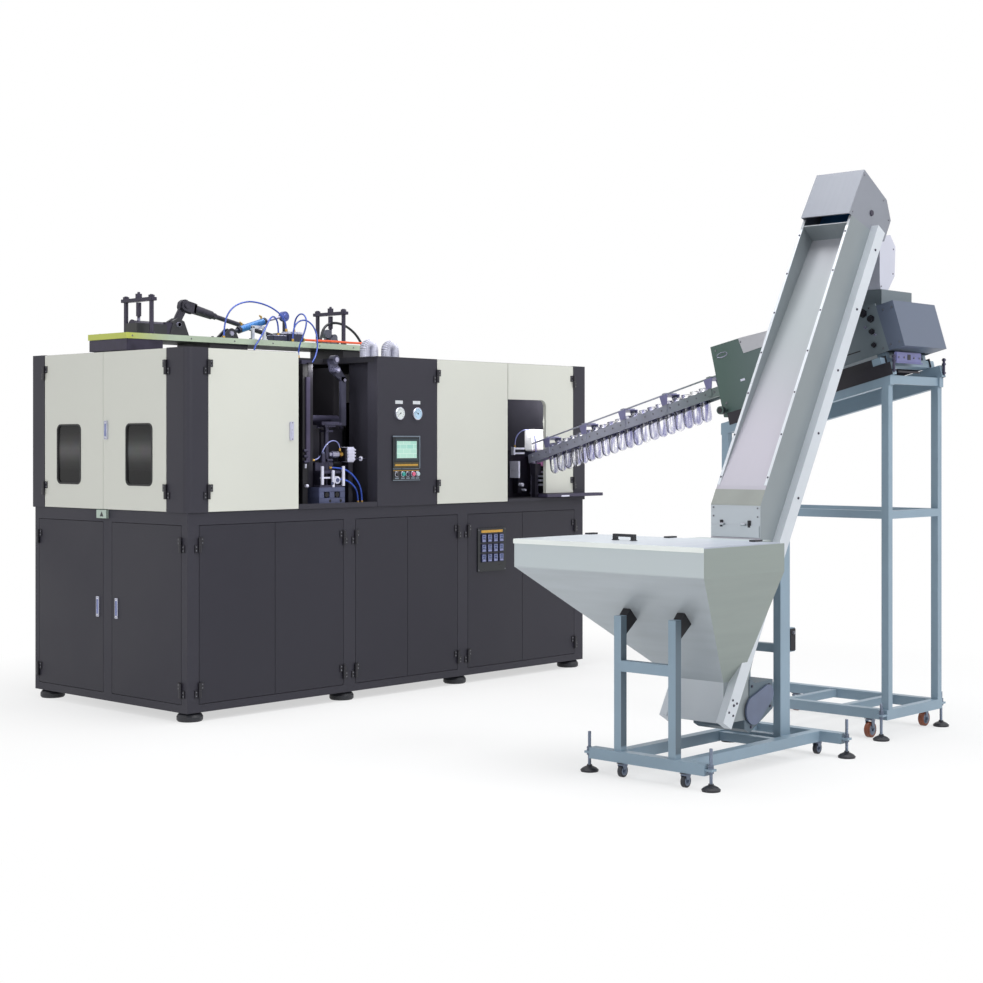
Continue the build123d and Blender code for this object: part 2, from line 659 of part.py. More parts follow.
collar -= box(*chute_mouth, -2860, -2640, 2150, collar_top + 1)
collar -= sorter_frame * box(500, 1300, -300, 300, 0, 262)
body = sorter_frame * sorter_body.fuse(*bearing_wall.solids())
body -= box(2225, 2519, -2874, -2621, 2100, 2230)
body = merge(body, collar)
rest = (sorter_frame * saddle) - nodes["preform_rail"]
nodes["sorter_body"] = merge(body, *rest.solids())
for name, side in (("left", 1), ("right", -1)):
    v = side * roller_y
    barrel = rod((roller_start, v, roller_w), (roller_end, v, roller_w), roller_r, 20)
    axle = rod((roller_start - 40, v, roller_w), (roller_end + 20, v, roller_w), axle_r)
    nodes[f"sorter_roller_{name}"] = sorter_frame * (barrel + axle)

end_slope = (side_points[3][0] - side_points[4][0]) / (side_points[3][1] - side_points[4][1])
motor_top = 262
motor_points = [
    (side_length, 20), (side_length + 92, 20), (side_length + 80, motor_top),
    (side_length + (motor_top - 20) * end_slope, motor_top)]
motor_face = make_face(Polyline(*[(u, -half_width, w) for u, w in motor_points], close=True))
motor = extrude(motor_face, 2 * half_width, dir=(0, 1, 0))
nodes["sorter_motor_box"] = sorter_frame * motor

# Threaded feet of both wheeled frames, each through a lug on its frame
stud_r = 8
lift_feet = ((430, -2422), (430, -3098), (1525, -3098), (1525, -2422))
stand_feet = ((2062, -2970), (2062, -1990), (2673, -2970), (2673, -1990))


def stud(x, y):
    """The threaded bar of a foot."""
    return rod((x, y, 16), (x, y, 184), stud_r, 6)


def lug(x, y, x_reach, y_reach, z0):
    """A plate from a foot's threaded bar to the frame beside it."""
    x0, x1 = sorted((x - math.copysign(16, x_reach), x + x_reach)) if x_reach else (x - 18, x + 18)
    y0, y1 = sorted((y - math.copysign(16, y_reach), y + y_reach)) if y_reach else (y - 18, y + 18)
    return box(x0, x1, y0, y1, z0, z0 + 10) - stud(x, y)


# Sorter stand of square tube
stand_x = (2085, 2650)
stand_y = (-3006, -1970)
leg_xs = ((2098, 2138), (2602, 2642))
tube = 40
stand = []
for y0 in (-2990, -2010):
    stand.append(box(stand_x[0], stand_x[1], y0, y0 + tube, 100, 150))
for x0 in (stand_x[0], stand_x[1] - 50):
    stand.append(box(x0, x0 + 50, -2950, -2010, 100, 150))
for y0 in (-2720, -2380):
    stand.append(box(stand_x[0] + 50, stand_x[1] - 50, y0, y0 + tube, 105, 145))
leg_top = {-2990: 1850, -2010: 1604}
for x0, x1 in leg_xs:
    for y0, top in leg_top.items():
        stand.append(box(x0, x1, y0, y0 + tube, 150, top - 20))
    stand.append(box(x0, x1, -2950, -2010, 1112, 1152))
    beam = [(-3000, 1852), (-3000, 1790), (-1965, 1540), (-1965, 1602)]
    stand.append(profile_x(beam, x0, x1))
for y0 in (-2990, -2010):
    stand.append(box(leg_xs[0][1], leg_xs[1][0], y0, y0 + tube, 1112, 1152))
stand.append(box(leg_xs[0][1], leg_xs[1][0], -2990, -2950, 1795, 1838))
stand.append(box(leg_xs[0][1], leg_xs[1][0], -2010, -1970, 1550, 1590))
base_bars = (-110, -48)
for y0 in (-267, 237):
    stand.append(sorter_frame * box(60, 1080, y0, y0 + tube, *base_bars))
for u0 in (300, 980):
    stand.append(sorter_frame * box(u0, u0 + 50, -267, 277, base_bars[1], -10))
    for y0 in (-200, 170):
        stand.append(sorter_frame * box(u0, u0 + 50, y0, y0 + 30, -10, 20))
for x, y in stand_feet:
    reach = stand_x[0] - x if x < stand_x[0] else stand_x[1] - x
    stand.append(lug(x, y, reach, 0, 120))
nodes["sorter_stand"] = merge(*stand)

# Elevator in its own slope: s runs up the conveyor, d stands off its rails
lift_cos = math.cos(math.radians(lift_angle))
lift_sin = math.sin(math.radians(lift_angle))


def incline(s, d):
    """A point in X and Z on the conveyor's slope."""
    return (lift_base[0] + s * lift_cos - d * lift_sin, lift_base[1] + s * lift_sin + d * lift_cos)


hood_low = (1871, 2639)
hood_back = (2212, 2527)
hood_fall = (hood_low[1] - hood_back[1]) / (hood_back[0] - hood_low[0])


def under_hood(d):
    """Where a line on the slope meets the hood's lower edge."""
    x, z = incline(0, d)
    rise = hood_low[1] - z - hood_fall * (x - hood_low[0])
    return incline(rise / (lift_sin + hood_fall * lift_cos), d)


def inset(points, amount):
    """The outline moved inwards by the sheet's thickness."""
    count = len(points)
    area = sum(points[i - 1][0] * points[i][1] - points[i][0] * points[i - 1][1] for i in range(count))
    turn = math.copysign(1, area)
    lines = []
    for i in range(count):
        start, end = points[i - 1], points[i]
        length = math.hypot(end[0] - start[0], end[1] - start[1])
        normal = (-turn * (end[1] - start[1]) / length, turn * (end[0] - start[0]) / length)
        lines.append((normal, normal[0] * start[0] + normal[1] * start[1] + amount))
    moved = []
    for i in range(count):
        (a, b), c = lines[i]
        (d, e), f = lines[(i + 1) % count]
        scale = a * e - b * d
        moved.append(((c * e - b * f) / scale, (a * f - c * d) / scale))
    return moved


def thin_duct(points, y0, y1, thick):
    """A duct of sheet with the given outline as its side: its outside and its inside."""
    return profile_y(points, y0, y1), profile_y(inset(points, thick), y0 + thick, y1 - thick)


step_x = 1095
step_z = hopper_top + 7
case_outline = [
    (boot_x0, boot_bottom), (boot_x0, boot_top), (step_x, step_z), (step_x, 1202),
    (1135, 1275), under_hood(case_front), under_hood(-rail_deep), incline(860, -rail_deep),
    (boot_x1, boot_top), (boot_x1, boot_bottom),
]
case_outer, case_inner = thin_duct(case_outline, lift_y0, lift_y1, sheet)
case = case_outer - case_inner
mouth = box(boot_x0 - 60, step_x, lift_y0 + 25, lift_y1 - 25, boot_top + 25, 690)
case -= mouth & thin_duct(case_outline, lift_y0 - 5, lift_y1 + 5, 0.5)[0] & profile_y(
    [(boot_x0 - 5, boot_top), (step_x - 20, step_z), (step_x + 20, step_z), (boot_x0 + 40, boot_top)],
    lift_y0, lift_y1)
slot_y = (lift_y0 + trough_flange, lift_y1 - trough_flange)
case -= box(1840, 1920, *slot_y, 2597, 2634)
top_left = under_hood(case_front - 2 * sheet)
top_right = under_hood(2 * sheet - rail_deep)
case -= profile_y([
    (top_left[0] - 14, top_left[1] - 25), (top_left[0] + 20, top_left[1] + 40),
    (top_right[0] + 10, top_right[1] + 40), (top_right[0] - 8, top_right[1] - 14)], lift_y0 + 4, lift_y1 - 4)
case -= box(step_x - 5, step_x + 6, lift_y0 + 20, lift_y1 - 20, step_z + 12, 1100)

# The front sinks towards the head as an open trough, between two flanges
front_low, front_high = case_outline[4], case_outline[5]
front_run = math.hypot(front_high[0] - front_low[0], front_high[1] - front_low[1])
front_s = (front_low[0] - lift_base[0]) * lift_cos + (front_low[1] - lift_base[1]) * lift_sin
share = (trough_foot - front_s) / front_run
foot = [front_low[i] + share * (front_high[i] - front_low[i]) for i in (0, 1)]
trough = [
    foot, incline(trough_head, case_front - trough_deep),
    incline(trough_head + 16, case_front + 6), incline(trough_foot, case_front + 6)]
pan = profile_y(inset(trough, -sheet), slot_y[0] - sheet, slot_y[1] + sheet) & case_outer
case = case + pan - profile_y(trough, *slot_y)
boot_x, boot_z = boot_axle
case -= bore((boot_x, lift_y0 - 1, boot_z), (boot_x, lift_y1 + 1, boot_z), axle_r + axle_play)
nodes["conveyor_case"] = case

rails = []
rail_points = [incline(0, 0), incline(2713, 0), incline(2713, -rail_deep), incline(0, -rail_deep)]
for y0 in (lift_y0 - rail_wide, lift_y1):
    rails.append(profile_y(rail_points, y0, y0 + rail_wide))
nodes["side_rails"] = group(*rails)

hood_outline = [hood_low, (2019, 2872), (2237, 2741), (2277, 2639), hood_back]
hood_outer, hood_inner = thin_duct(hood_outline, lift_y0, lift_y1, sheet)
hood = hood_outer - hood_inner
hood -= profile_y([
    (hood_low[0] + 8, hood_low[1] + 4), (hood_low[0] + 8, hood_low[1] - 20),
    (hood_back[0] - 45, hood_back[1] - 20), (hood_back[0] - 45, hood_back[1] + 30)], lift_y0 + 4, lift_y1 - 4)
hood -= profile_y([
    (hood_back[0] - 20, hood_back[1] + 25), (hood_back[0] + 8, hood_back[1] + 8),
    (2275, 2632), (2255, 2640)], lift_y0 + 8, lift_y1 - 8)
for y in (lift_y0, lift_y1 - sheet):
    x, z = head_axle
    hood -= bore((x, y - 1, z), (x, y + sheet + 1, z), axle_r + axle_play)
nodes["head_hood"] = hood


def pulley(axle):
    """A pulley with its axle through both side sheets."""
    x, z = axle
    drum = rod((x, lift_y0 + 15, z), (x, lift_y1 - 15, z), belt_r, 20)
    return drum + rod((x, lift_y0 + 1, z), (x, lift_y1 - 1, z), axle_r)


nodes["boot_pulley"] = pulley(boot_axle)
nodes["head_pulley"] = pulley(head_axle)

belt_span = math.hypot(head_axle[0] - boot_axle[0], head_axle[1] - boot_axle[1])
belt_turn = math.degrees(math.atan2(head_axle[1] - boot_axle[1], head_axle[0] - boot_axle[0]))
belt_inner = belt_r + 0.4
loop_outer = SlotCenterToCenter(belt_span, 2 * (belt_inner + belt_thick))
loop = loop_outer - SlotCenterToCenter(belt_span, 2 * belt_inner)
belt_mid = ((boot_axle[0] + head_axle[0]) / 2, (boot_axle[1] + head_axle[1]) / 2)
belt_plane = Plane(origin=(belt_mid[0], lift_y0 + 18, belt_mid[1]), x_dir=(1, 0, 0), z_dir=(0, -1, 0))
nodes["belt"] = extrude(belt_plane * Rot(0, 0, belt_turn) * loop, lift_y0 - lift_y1 + 36)

# Hopper of folded sheet, its spout closed by the conveyor's sloping front
rim_x0, rim_x1, rim_y0, rim_y1 = hopper_rim


def funnel(gap):
    """The hopper's body, smaller all round by the gap."""
    front = [(boot_x0 + gap, boot_top), (rim_x0 + gap, hopper_skirt), (rim_x0 + gap, hopper_top),
             (rim_x1 - gap, hopper_top), (rim_x1 - gap, hopper_skirt), (boot_x1 - gap, boot_top)]
    side = [(lift_y0 + gap, boot_top), (rim_y0 + gap, hopper_skirt), (rim_y0 + gap, hopper_top),
            (rim_y1 - gap, hopper_top), (rim_y1 - gap, hopper_skirt), (lift_y1 - gap, boot_top)]
    return profile_y(front, rim_y0, rim_y1) & profile_x(side, rim_x0, rim_x1)


hopper = funnel(0) - funnel(4)
hopper -= box(rim_x0 + 14, 895, rim_y0 + 14, rim_y1 - 14, hopper_top - 20, hopper_top + 1)
lid_rest = box(895, rim_x1, rim_y0, rim_y1, hopper_top - 5, hopper_top)
shelf = box(rim_x1, step_x, -2960, -2560, hopper_top - 5, hopper_top)
hopper = merge(hopper, lid_rest, shelf)
case_solid = thin_duct(case_outline, lift_y0, lift_y1, sheet)[0]
keep = hopper - case_solid - rails[0] - rails[1]
nodes["hopper"] = group(*[solid for solid in keep.solids() if solid.volume > 50000])

lid_hinge_x = 905
lid_thick = 5
lid_hinge_z = hopper_top + 8
lid = box(rim_x0, lid_hinge_x - 8, rim_y0, rim_y1, hopper_top, hopper_top + lid_thick)
handle_y = (-2591, -2470)
grip = box(538, 558, *handle_y, hopper_top + lid_thick, hopper_top + 34)
grip -= box(537, 559, handle_y[0] + 14, handle_y[1] - 14, hopper_top + lid_thick, hopper_top + 22)
lid_hinges = []
for y in (-2080, -2560, -3040):
    lid_hinges.append(box(lid_hinge_x - 60, lid_hinge_x, y, y + 30, hopper_top + lid_thick, hopper_top + 12))
nodes["hopper_lid"] = merge(lid, grip, *lid_hinges)

# Small flap in the lower housing, hung from its upper edge
flap_axis = (step_x - 8, 1113)
flap_face = step_x - 0.6
flap = box(flap_face - 4, flap_face, lift_y0 + 5, lift_y1 - 5, step_z + 2, flap_axis[1] - 5)
for y in (-2820, -2700):
    flap += box(flap_face - 4, flap_face, y, y + 24, flap_axis[1] - 10, flap_axis[1])
    flap += rod((flap_axis[0], y, flap_axis[1]), (flap_axis[0], y + 24, flap_axis[1]), 6, 6)
nodes["housing_flap"] = flap

guard_points = [
    (boot_x1, 405), (1051, 384), (1191, 389), (1191, 253), (1000, 160), (960, 180), (960, boot_bottom),
    (boot_x1, boot_bottom)]
nodes["drive_guard"] = profile_y(guard_points, lift_y0 - 4, lift_y1 + 4)

# Elevator frame on castors, with its control box
def hopper_wall(x):
    """The height of the hopper's sloping left wall."""
    fall = (hopper_skirt - boot_top) / (boot_x0 - rim_x0)
    return hopper_skirt - (x - rim_x0) * fall


frame_parts = [
    box(405, 455, -3080, -2440, 65, 115),
    box(1500, 1550, -3080, -2440, 65, 115),
    box(455, 1500, -2965, -2915, 65, 115),
    box(455, 1500, -2605, -2555, 65, 115),
    box(1180, 1220, -2915, -2605, 70, 110),
    box(1290, 1330, -2915, -2605, 70, 110),
]
post_y = (-2920, -2880)
far_y = (-2617, -2577)
for y0, y1 in (post_y, far_y):
    frame_parts.append(box(415, 455, y0, y1, 115, 720))
    gusset = [(455, 640), (455, 720), (482, hopper_wall(482)), (530, hopper_wall(530))]
    frame_parts.append(profile_y(gusset, y0, y1))
frame_parts.append(box(415, 455, post_y[1], far_y[0], 473, 522))
rear_ys = ((-2892, -2852), (-2668, -2628))
rear_slope = [(1274, 70), (1354, 70)]
meet = [incline((x - incline(0, -rail_deep)[0]) / lift_cos, -rail_deep) for x in (1354, 1274)]
for y0, y1 in rear_ys:
    frame_parts.append(profile_y(rear_slope + meet, y0, y1))
    frame_parts.append(box(1274, 1354, y0, y1, 65, 120))
frame_parts.append(box(1290, 1330, rear_ys[0][1], rear_ys[1][0], 500, 540))
frame_parts.append(box(1354, 1400, -2890, -2830, 500, 614))
frame_parts.append(box(1274, 1354, -2915, rear_ys[0][0], 70, 110))
frame_parts.append(box(1274, 1354, rear_ys[1][1], -2605, 70, 110))
for x, y in lift_feet:
    reach = -3080 - y if y < -3080 else -2440 - y
    frame_parts.append(lug(x, y, 0, reach, 85))
nodes["elevator_frame"] = merge(*frame_parts)

# Castors: fork, wheel and top plate, the stand's being the larger
def castor(x, y, beam_z, wheel_r, wheel_w):
    """A castor under a beam, its wheel on the floor and its fork beside it."""
    fork_half = wheel_w / 2 + 5
    wheel = rod((x, y - wheel_w / 2, wheel_r), (x, y + wheel_w / 2, wheel_r), wheel_r, 16)
    frame_top = box(x - 24, x + 24, y - fork_half, y + fork_half, beam_z - 10, beam_z)
    for side in (-1, 1):
        y0, y1 = sorted((y + side * (wheel_w / 2), y + side * fork_half))
        frame_top += box(x - 14, x + 14, y0, y1, wheel_r - 12, beam_z - 10)
    return [wheel, frame_top]


castors = []
for x, y in ((424, -2619), (424, -2968), (1520, -2938), (1520, -2582)):
    castors += castor(x, y, 65, 28, 22)
for x, y in ((2110, -2878), (2110, -2106), (2625, -2896), (2625, -2106)):
    castors += castor(x, y, 100, 40, 30)
nodes["castors"] = group(*castors)

# Levelling feet: broad pads under the machine, threaded pads on both frames
feet = []


def pad(x, y, radius, height):
    """A foot's tapered pad."""
    return extrude(Pos(x, y, 0) * RegularPolygon(radius, 16), height, taper=18)


for x in (82, 1180, 2130, cab_length - 82):
    for y in (82, cab_depth - 82):
        feet.append(pad(x, y, 72, foot_height))
for x, y in lift_feet + stand_feet:
    feet.append(pad(x, y, 42, 16) + stud(x, y))
nodes["levelling_feet"] = group(*feet)

nodes["hinge_fixed_leaves"] = group(*hinges)
nodes["air_hoses"] = group(*[hose(route, radius) for radius, route in hose_routes])

# Chute from the hood to the sorter's collar, open above and below
chute_outline = [
    (2241, 2560), (2324, 2572), (2376, 2515), (2368, 2362),
    (2302, collar_top), (2226, collar_top), (2218, 2330), (2218, 2520)]
chute_outer, chute_inner = thin_duct(chute_outline, -2870, -2630, sheet)
chute = chute_outer - chute_inner
chute -= box(*chute_mouth, -2860, -2640, collar_top - 1, collar_top + 10)
chute -= box(2250, 2314, -2862, -2638, 2545, 2580)
nodes["chute"] = chute

# The part stands on the floor with its origin under the middle of its box
whole = Compound(children=[shape for node in nodes.values() for shape in node.solids()])
bounds = whole.bounding_box()
shift = Vector(-(bounds.min.X + bounds.max.X) / 2, -(bounds.min.Y + bounds.max.Y) / 2, -bounds.min.Z)
for name, node in nodes.items():
    placed = Compound(children=[Pos(shift.X, shift.Y, shift.Z) * solid for solid in node.solids()])
    export_step(placed, f"parts/{name}.step")
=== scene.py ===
import math
import bmesh
import bpy
from mathutils import Matrix, Vector


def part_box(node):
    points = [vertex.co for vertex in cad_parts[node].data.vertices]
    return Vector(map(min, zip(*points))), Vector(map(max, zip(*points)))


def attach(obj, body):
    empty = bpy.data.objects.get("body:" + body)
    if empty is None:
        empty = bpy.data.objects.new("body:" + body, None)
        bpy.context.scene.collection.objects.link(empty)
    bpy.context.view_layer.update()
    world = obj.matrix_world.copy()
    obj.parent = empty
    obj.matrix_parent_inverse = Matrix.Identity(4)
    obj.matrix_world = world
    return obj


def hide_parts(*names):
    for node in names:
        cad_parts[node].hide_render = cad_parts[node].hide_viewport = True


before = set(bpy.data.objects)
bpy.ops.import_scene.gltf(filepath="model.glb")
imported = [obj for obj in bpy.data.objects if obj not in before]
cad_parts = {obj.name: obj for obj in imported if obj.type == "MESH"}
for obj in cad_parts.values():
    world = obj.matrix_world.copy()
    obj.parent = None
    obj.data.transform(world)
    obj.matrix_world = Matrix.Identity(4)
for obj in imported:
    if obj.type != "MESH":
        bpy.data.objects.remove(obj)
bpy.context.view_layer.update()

# VIEWPOINT AND STUDIO
# A level camera at an operator's eye height, off the machine's left front
# corner, in a white studio with one broad key lamp on the operator's side.
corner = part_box("upper_frame")[0]


def at(x, y, z):
    """Millimetres from the cabinet's front left corner on the floor, as the frame's metres."""
    return Vector((corner.x + x / 1000, corner.y + y / 1000, z / 1000))


def stood(name, data):
    """A new object in the scene."""
    made = bpy.data.objects.new(name, data)
    bpy.context.scene.collection.objects.link(made)
    return made


def feed(tree, target, inputs):
    """Gives inputs of a node their values, or the sockets or nodes that drive them."""
    for key, value in inputs.items():
        if isinstance(value, bpy.types.Node):
            value = value.outputs[0]
        if isinstance(value, bpy.types.NodeSocket):
            tree.links.new(value, target.inputs[key])
        else:
            target.inputs[key].default_value = value
    return target


def node(tree, kind, inputs={}, **settings):
    """A new node of a tree with its settings and inputs. A shader's kind is given short."""
    made = tree.nodes.new(kind if "Node" in kind else "ShaderNode" + kind)
    for key, value in settings.items():
        setattr(made, key, value)
    return feed(tree, made, inputs)


camera = stood("viewpoint", bpy.data.cameras.new("viewpoint"))
bpy.context.scene.camera = camera
film_width, picture_side, focal_pixels, horizon_row = 36, 983, 1739, 445
camera.data.lens = film_width * focal_pixels / picture_side
camera.data.shift_y = (horizon_row - picture_side / 2) / picture_side
camera.data.clip_end = 200
camera.location = at(-5673, -7484, 1485)
camera.rotation_euler = (math.radians(90), 0, math.radians(42.9 - 90))
bpy.context.scene.view_settings.view_transform = "Standard"


def white_to_view(tree):
    """1 where the camera looks, straight or by way of metal or glass."""
    rays = node(tree, "LightPath").outputs
    total = rays["Is Camera Ray"]
    for name in ("Is Glossy Ray", "Is Transmission Ray"):
        total = node(tree, "Math", {0: total, 1: rays[name]}, operation="MAXIMUM").outputs[0]
    return total


studio = bpy.data.worlds.new("studio")
bpy.context.scene.world = studio
studio.use_nodes = True
tree = studio.node_tree
tree.nodes.clear()
sky = node(tree, "Background", {"Color": (0.95, 0.97, 1.0, 1), "Strength": 0.40})
white = node(tree, "Background", {"Color": (1, 1, 1, 1)})
blend = node(tree, "MixShader", {0: white_to_view(tree), 1: sky, 2: white})
node(tree, "OutputWorld", {"Surface": blend})


def lamp(name, spot, aim, size, power, spread=180):
    """A square lamp that looks from its spot to its aim."""
    made = stood(name, bpy.data.lights.new(name, "AREA"))
    made.data.size, made.data.energy, made.data.spread = size, power, math.radians(spread)
    made.location = at(*spot)
    made.rotation_euler = (at(*aim) - at(*spot)).to_track_quat("-Z", "Y").to_euler()


lamp("key_lamp", (2500, -9500, 6500), (1600, -500, 1000), 6, 405)
lamp("end_lamp", (-8500, -1800, 5200), (600, -200, 1000), 5, 205)
lamp("top_lamp", (1500, -1500, 9000), (1500, -900, 0), 7, 520)


def bare_material(name):
    """A new material, its tree and its shader."""
    made = bpy.data.materials.new(name)
    made.use_nodes = True
    return made, made.node_tree, made.node_tree.nodes["Principled BSDF"]


# The floor takes the object's shadow near it, and runs out into plain white
reach = 60
floor_mesh = bpy.data.meshes.new("studio_floor")
floor_mesh.from_pydata([(-reach, -reach, 0), (reach, -reach, 0), (reach, reach, 0), (-reach, reach, 0)], [],
                       [(0, 1, 2, 3)])
sweep, tree, paint = bare_material("studio_sweep")
feed(tree, paint, {"Base Color": (0.88, 0.88, 0.88, 1), "Roughness": 0.9})
place = node(tree, "TexCoord").outputs["Object"]
distance = node(tree, "VectorMath", {0: place}, operation="LENGTH").outputs["Value"]
fade = node(tree, "MapRange", {"Value": distance, "From Min": 2.2, "From Max": 4.2, "To Min": 0.6})
seen = node(tree, "Math", {0: fade, 1: white_to_view(tree)}, operation="MULTIPLY")
mixed = node(tree, "MixShader", {0: seen, 1: paint, 2: node(tree, "Emission")})
feed(tree, tree.nodes["Material Output"], {"Surface": mixed})
floor_mesh.materials.append(sweep)
stood("studio_floor", floor_mesh)

# AIR HOSES
# Polyurethane tube in blue, one black supply hose and two thin lilac lines,
# pushed into fittings at both ends. The fittings belong to what they screw into.


def shade(tone, lift=1):
    """A colour written as a screen shows it, in steps of 255."""
    return (*[(s / 3294.6 if s <= 10 else ((s / 255 + 0.055) / 1.055) ** 2.4) * lift for s in tone], 1)


def new_tree(name, kind, takes, gives):
    """An empty node tree, the sockets that it takes in, and the node that gives its results out."""
    tree = bpy.data.node_groups.new(name, kind + "NodeTree")
    for sockets, way in ((takes, "INPUT"), (gives, "OUTPUT")):
        for label, socket in sockets:
            tree.interface.new_socket(label, in_out=way, socket_type="NodeSocket" + socket)
    return tree, node(tree, "NodeGroupInput").outputs, node(tree, "NodeGroupOutput")


def colour_mix(tree, share, one, other, **settings):
    """A mix of two colours."""
    return node(tree, "Mix", {0: share, 6: one, 7: other}, data_type="RGBA", **settings).outputs[2]


# Uneven colour, uneven gloss and a fine relief, all over a surface
surface, take, give = new_tree("surface", "Shader", (
    ("Light", "Color"), ("Dark", "Color"), ("Stretch", "Vector"), ("Cloud Scale", "Float"),
    ("Grain Scale", "Float"), ("Gloss Low", "Float"), ("Gloss High", "Float")),
    (("Colour", "Color"), ("Gloss", "Float"), ("Relief", "Float")))
place = node(surface, "TexCoord").outputs["Object"]
stretched = node(surface, "VectorMath", {0: place, 1: take["Stretch"]}, operation="MULTIPLY")
cloud = node(surface, "TexNoise", {"Vector": stretched, "Scale": take["Cloud Scale"], "Detail": 3})
grain = node(surface, "TexNoise", {"Vector": stretched, "Scale": take["Grain Scale"], "Detail": 1})
spread = node(surface, "MapRange", {"Value": cloud, "From Min": 0.3, "From Max": 0.7})
gloss = node(surface, "Mix", {0: spread, 2: take["Gloss Low"], 3: take["Gloss High"]})
feed(surface, give, {"Colour": colour_mix(surface, spread, take["Dark"], take["Light"]), "Gloss": gloss,
                     "Relief": grain})


def finish(name, tone, rough=0.4, metal=0.0, uneven=0.06, cloud=5, grain=900, relief=0.05, stretch=(1, 1, 1),
           coat=0.0):
    """A finish of this machine: paint, plastic, rubber or metal, from the surface group."""
    made, tree, shader = bare_material(name)
    skin = node(tree, "Group", {
        "Light": shade(tone, 1 + uneven), "Dark": shade(tone, 1 - uneven), "Stretch": stretch,
        "Cloud Scale": cloud, "Grain Scale": grain, "Gloss Low": rough * 0.85, "Gloss High": rough * 1.15,
    }, node_tree=surface).outputs
    bump = node(tree, "Bump", {"Strength": relief, "Distance": 0.001, "Height": skin["Relief"]})
    feed(tree, shader, {"Base Color": skin["Colour"], "Roughness": skin["Gloss"], "Normal": bump,
                        "Metallic": metal, "Coat Weight": coat})
    return made


hose_blue = finish("hose_blue", (52, 86, 190), 0.22, uneven=0.25, cloud=30, coat=0.3)
hose_black = finish("hose_black", (36, 38, 46), 0.4, 0, 0.15, 20)
hose_lilac = finish("hose_lilac", (150, 155, 215), 0.2, uneven=0.15, cloud=30, coat=0.3)
hoses = (
    ("roof_hose", 5, 0.691, hose_blue, (
        (743, 625, 2110), (743, 625, 2205), (795, 621, 2297), (905, 618, 2342), (1025, 614, 2334),
        (1125, 608, 2300), (1200, 600, 2238), (1200, 600, 2172))),
    ("bay_hose", 5, 0.887, hose_blue, (
        (1212, 555, 2110), (1212, 555, 2174), (1245, 553, 2233), (1315, 545, 2250), (1375, 530, 2195),
        (1368, 500, 2080), (1300, 462, 1992), (1215, 430, 1952), (1120, 385, 1930), (1035, 350, 1925),
        (945, 350, 1925))),
    ("left_valve_hose", 5, 0.492, hose_blue, (
        (1150, 615, 2145), (1150, 615, 2195), (1130, 605, 2240), (1085, 585, 2262), (1035, 562, 2235),
        (985, 540, 2175), (930, 524, 2110), (880, 516, 2060), (880, 516, 2010))),
    ("right_valve_hose", 5, 0.458, hose_blue, (
        (1280, 622, 2172), (1280, 622, 2216), (1279, 600, 2264), (1276, 552, 2286), (1272, 504, 2264),
        (1262, 484, 2212), (1242, 498, 2135), (1220, 512, 2070), (1220, 512, 2010))),
    ("supply_hose", 8, 0.589, hose_black, (
        (1600, 740, 2110), (1600, 740, 2178), (1644, 737, 2246), (1732, 730, 2262), (1820, 722, 2234),
        (1890, 712, 2180), (1935, 703, 2100), (1935, 703, 2010))),
    ("upper_mould_hose", 5, 0.364, hose_blue, (
        (1118, 122, 1352), (1180, 112, 1352), (1245, 96, 1336), (1306, 90, 1285), (1350, 90, 1215),
        (1350, 90, 1140))),
    ("lower_mould_hose", 5, 0.257, hose_blue, (
        (1151, 105, 1286), (1201, 99, 1286), (1262, 92, 1266), (1318, 90, 1212), (1318, 90, 1140))),
    ("gripper_line", 3.5, 0.307, hose_lilac, (
        (986, 122, 1396), (1015, 116, 1398), (1044, 108, 1424), (1070, 105, 1478), (1118, 105, 1512),
        (1168, 111, 1508), (1206, 125, 1480), (1206, 125, 1450))),
    ("infeed_line", 3.5, 0.39, hose_lilac, (
        (2811, 190, 1469), (2806, 186, 1515), (2822, 168, 1568), (2868, 134, 1592), (2910, 110, 1562),
        (2925, 106, 1500), (2926, 106, 1440), (2926, 106, 1386))),
)
for name, radius, length, colour, points in hoses:
    curve = bpy.data.curves.new(name, "CURVE")
    curve.dimensions = "3D"
    line = curve.splines.new("NURBS")
    line.points.add(len(points) - 1)
    for point, place in zip(line.points, points):
        point.co = (*at(*place), 1)
    line.order_u = 3
    line.use_endpoint_u = True
    line.resolution_u = 12
    curve.bevel_depth = radius / 1000
    curve.bevel_resolution = 3
    curve.use_fill_caps = True
    curve.materials.append(colour)
    hose = stood(name, curve)
    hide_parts("air_hoses")
    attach(hose, "machine")


def settled(name, mesh, body, stands_for=None):
    """An object of a finished mesh that rides on a body: smooth, with its edges kept sharp."""
    mesh.polygons.foreach_set("use_smooth", [True] * len(mesh.polygons))
    mesh.set_sharp_from_angle(angle=math.radians(35))
    made = stood(name, mesh)
    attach(made, body)
    if stands_for:
        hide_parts(stands_for)


def ring(radius, sides, count=None):
    """Pairs that go round a circle: as many as it has sides, or one more to close it."""
    turns = (math.tau * k / sides for k in range(count or sides))
    return [(radius * math.cos(turn), radius * math.sin(turn)) for turn in turns]


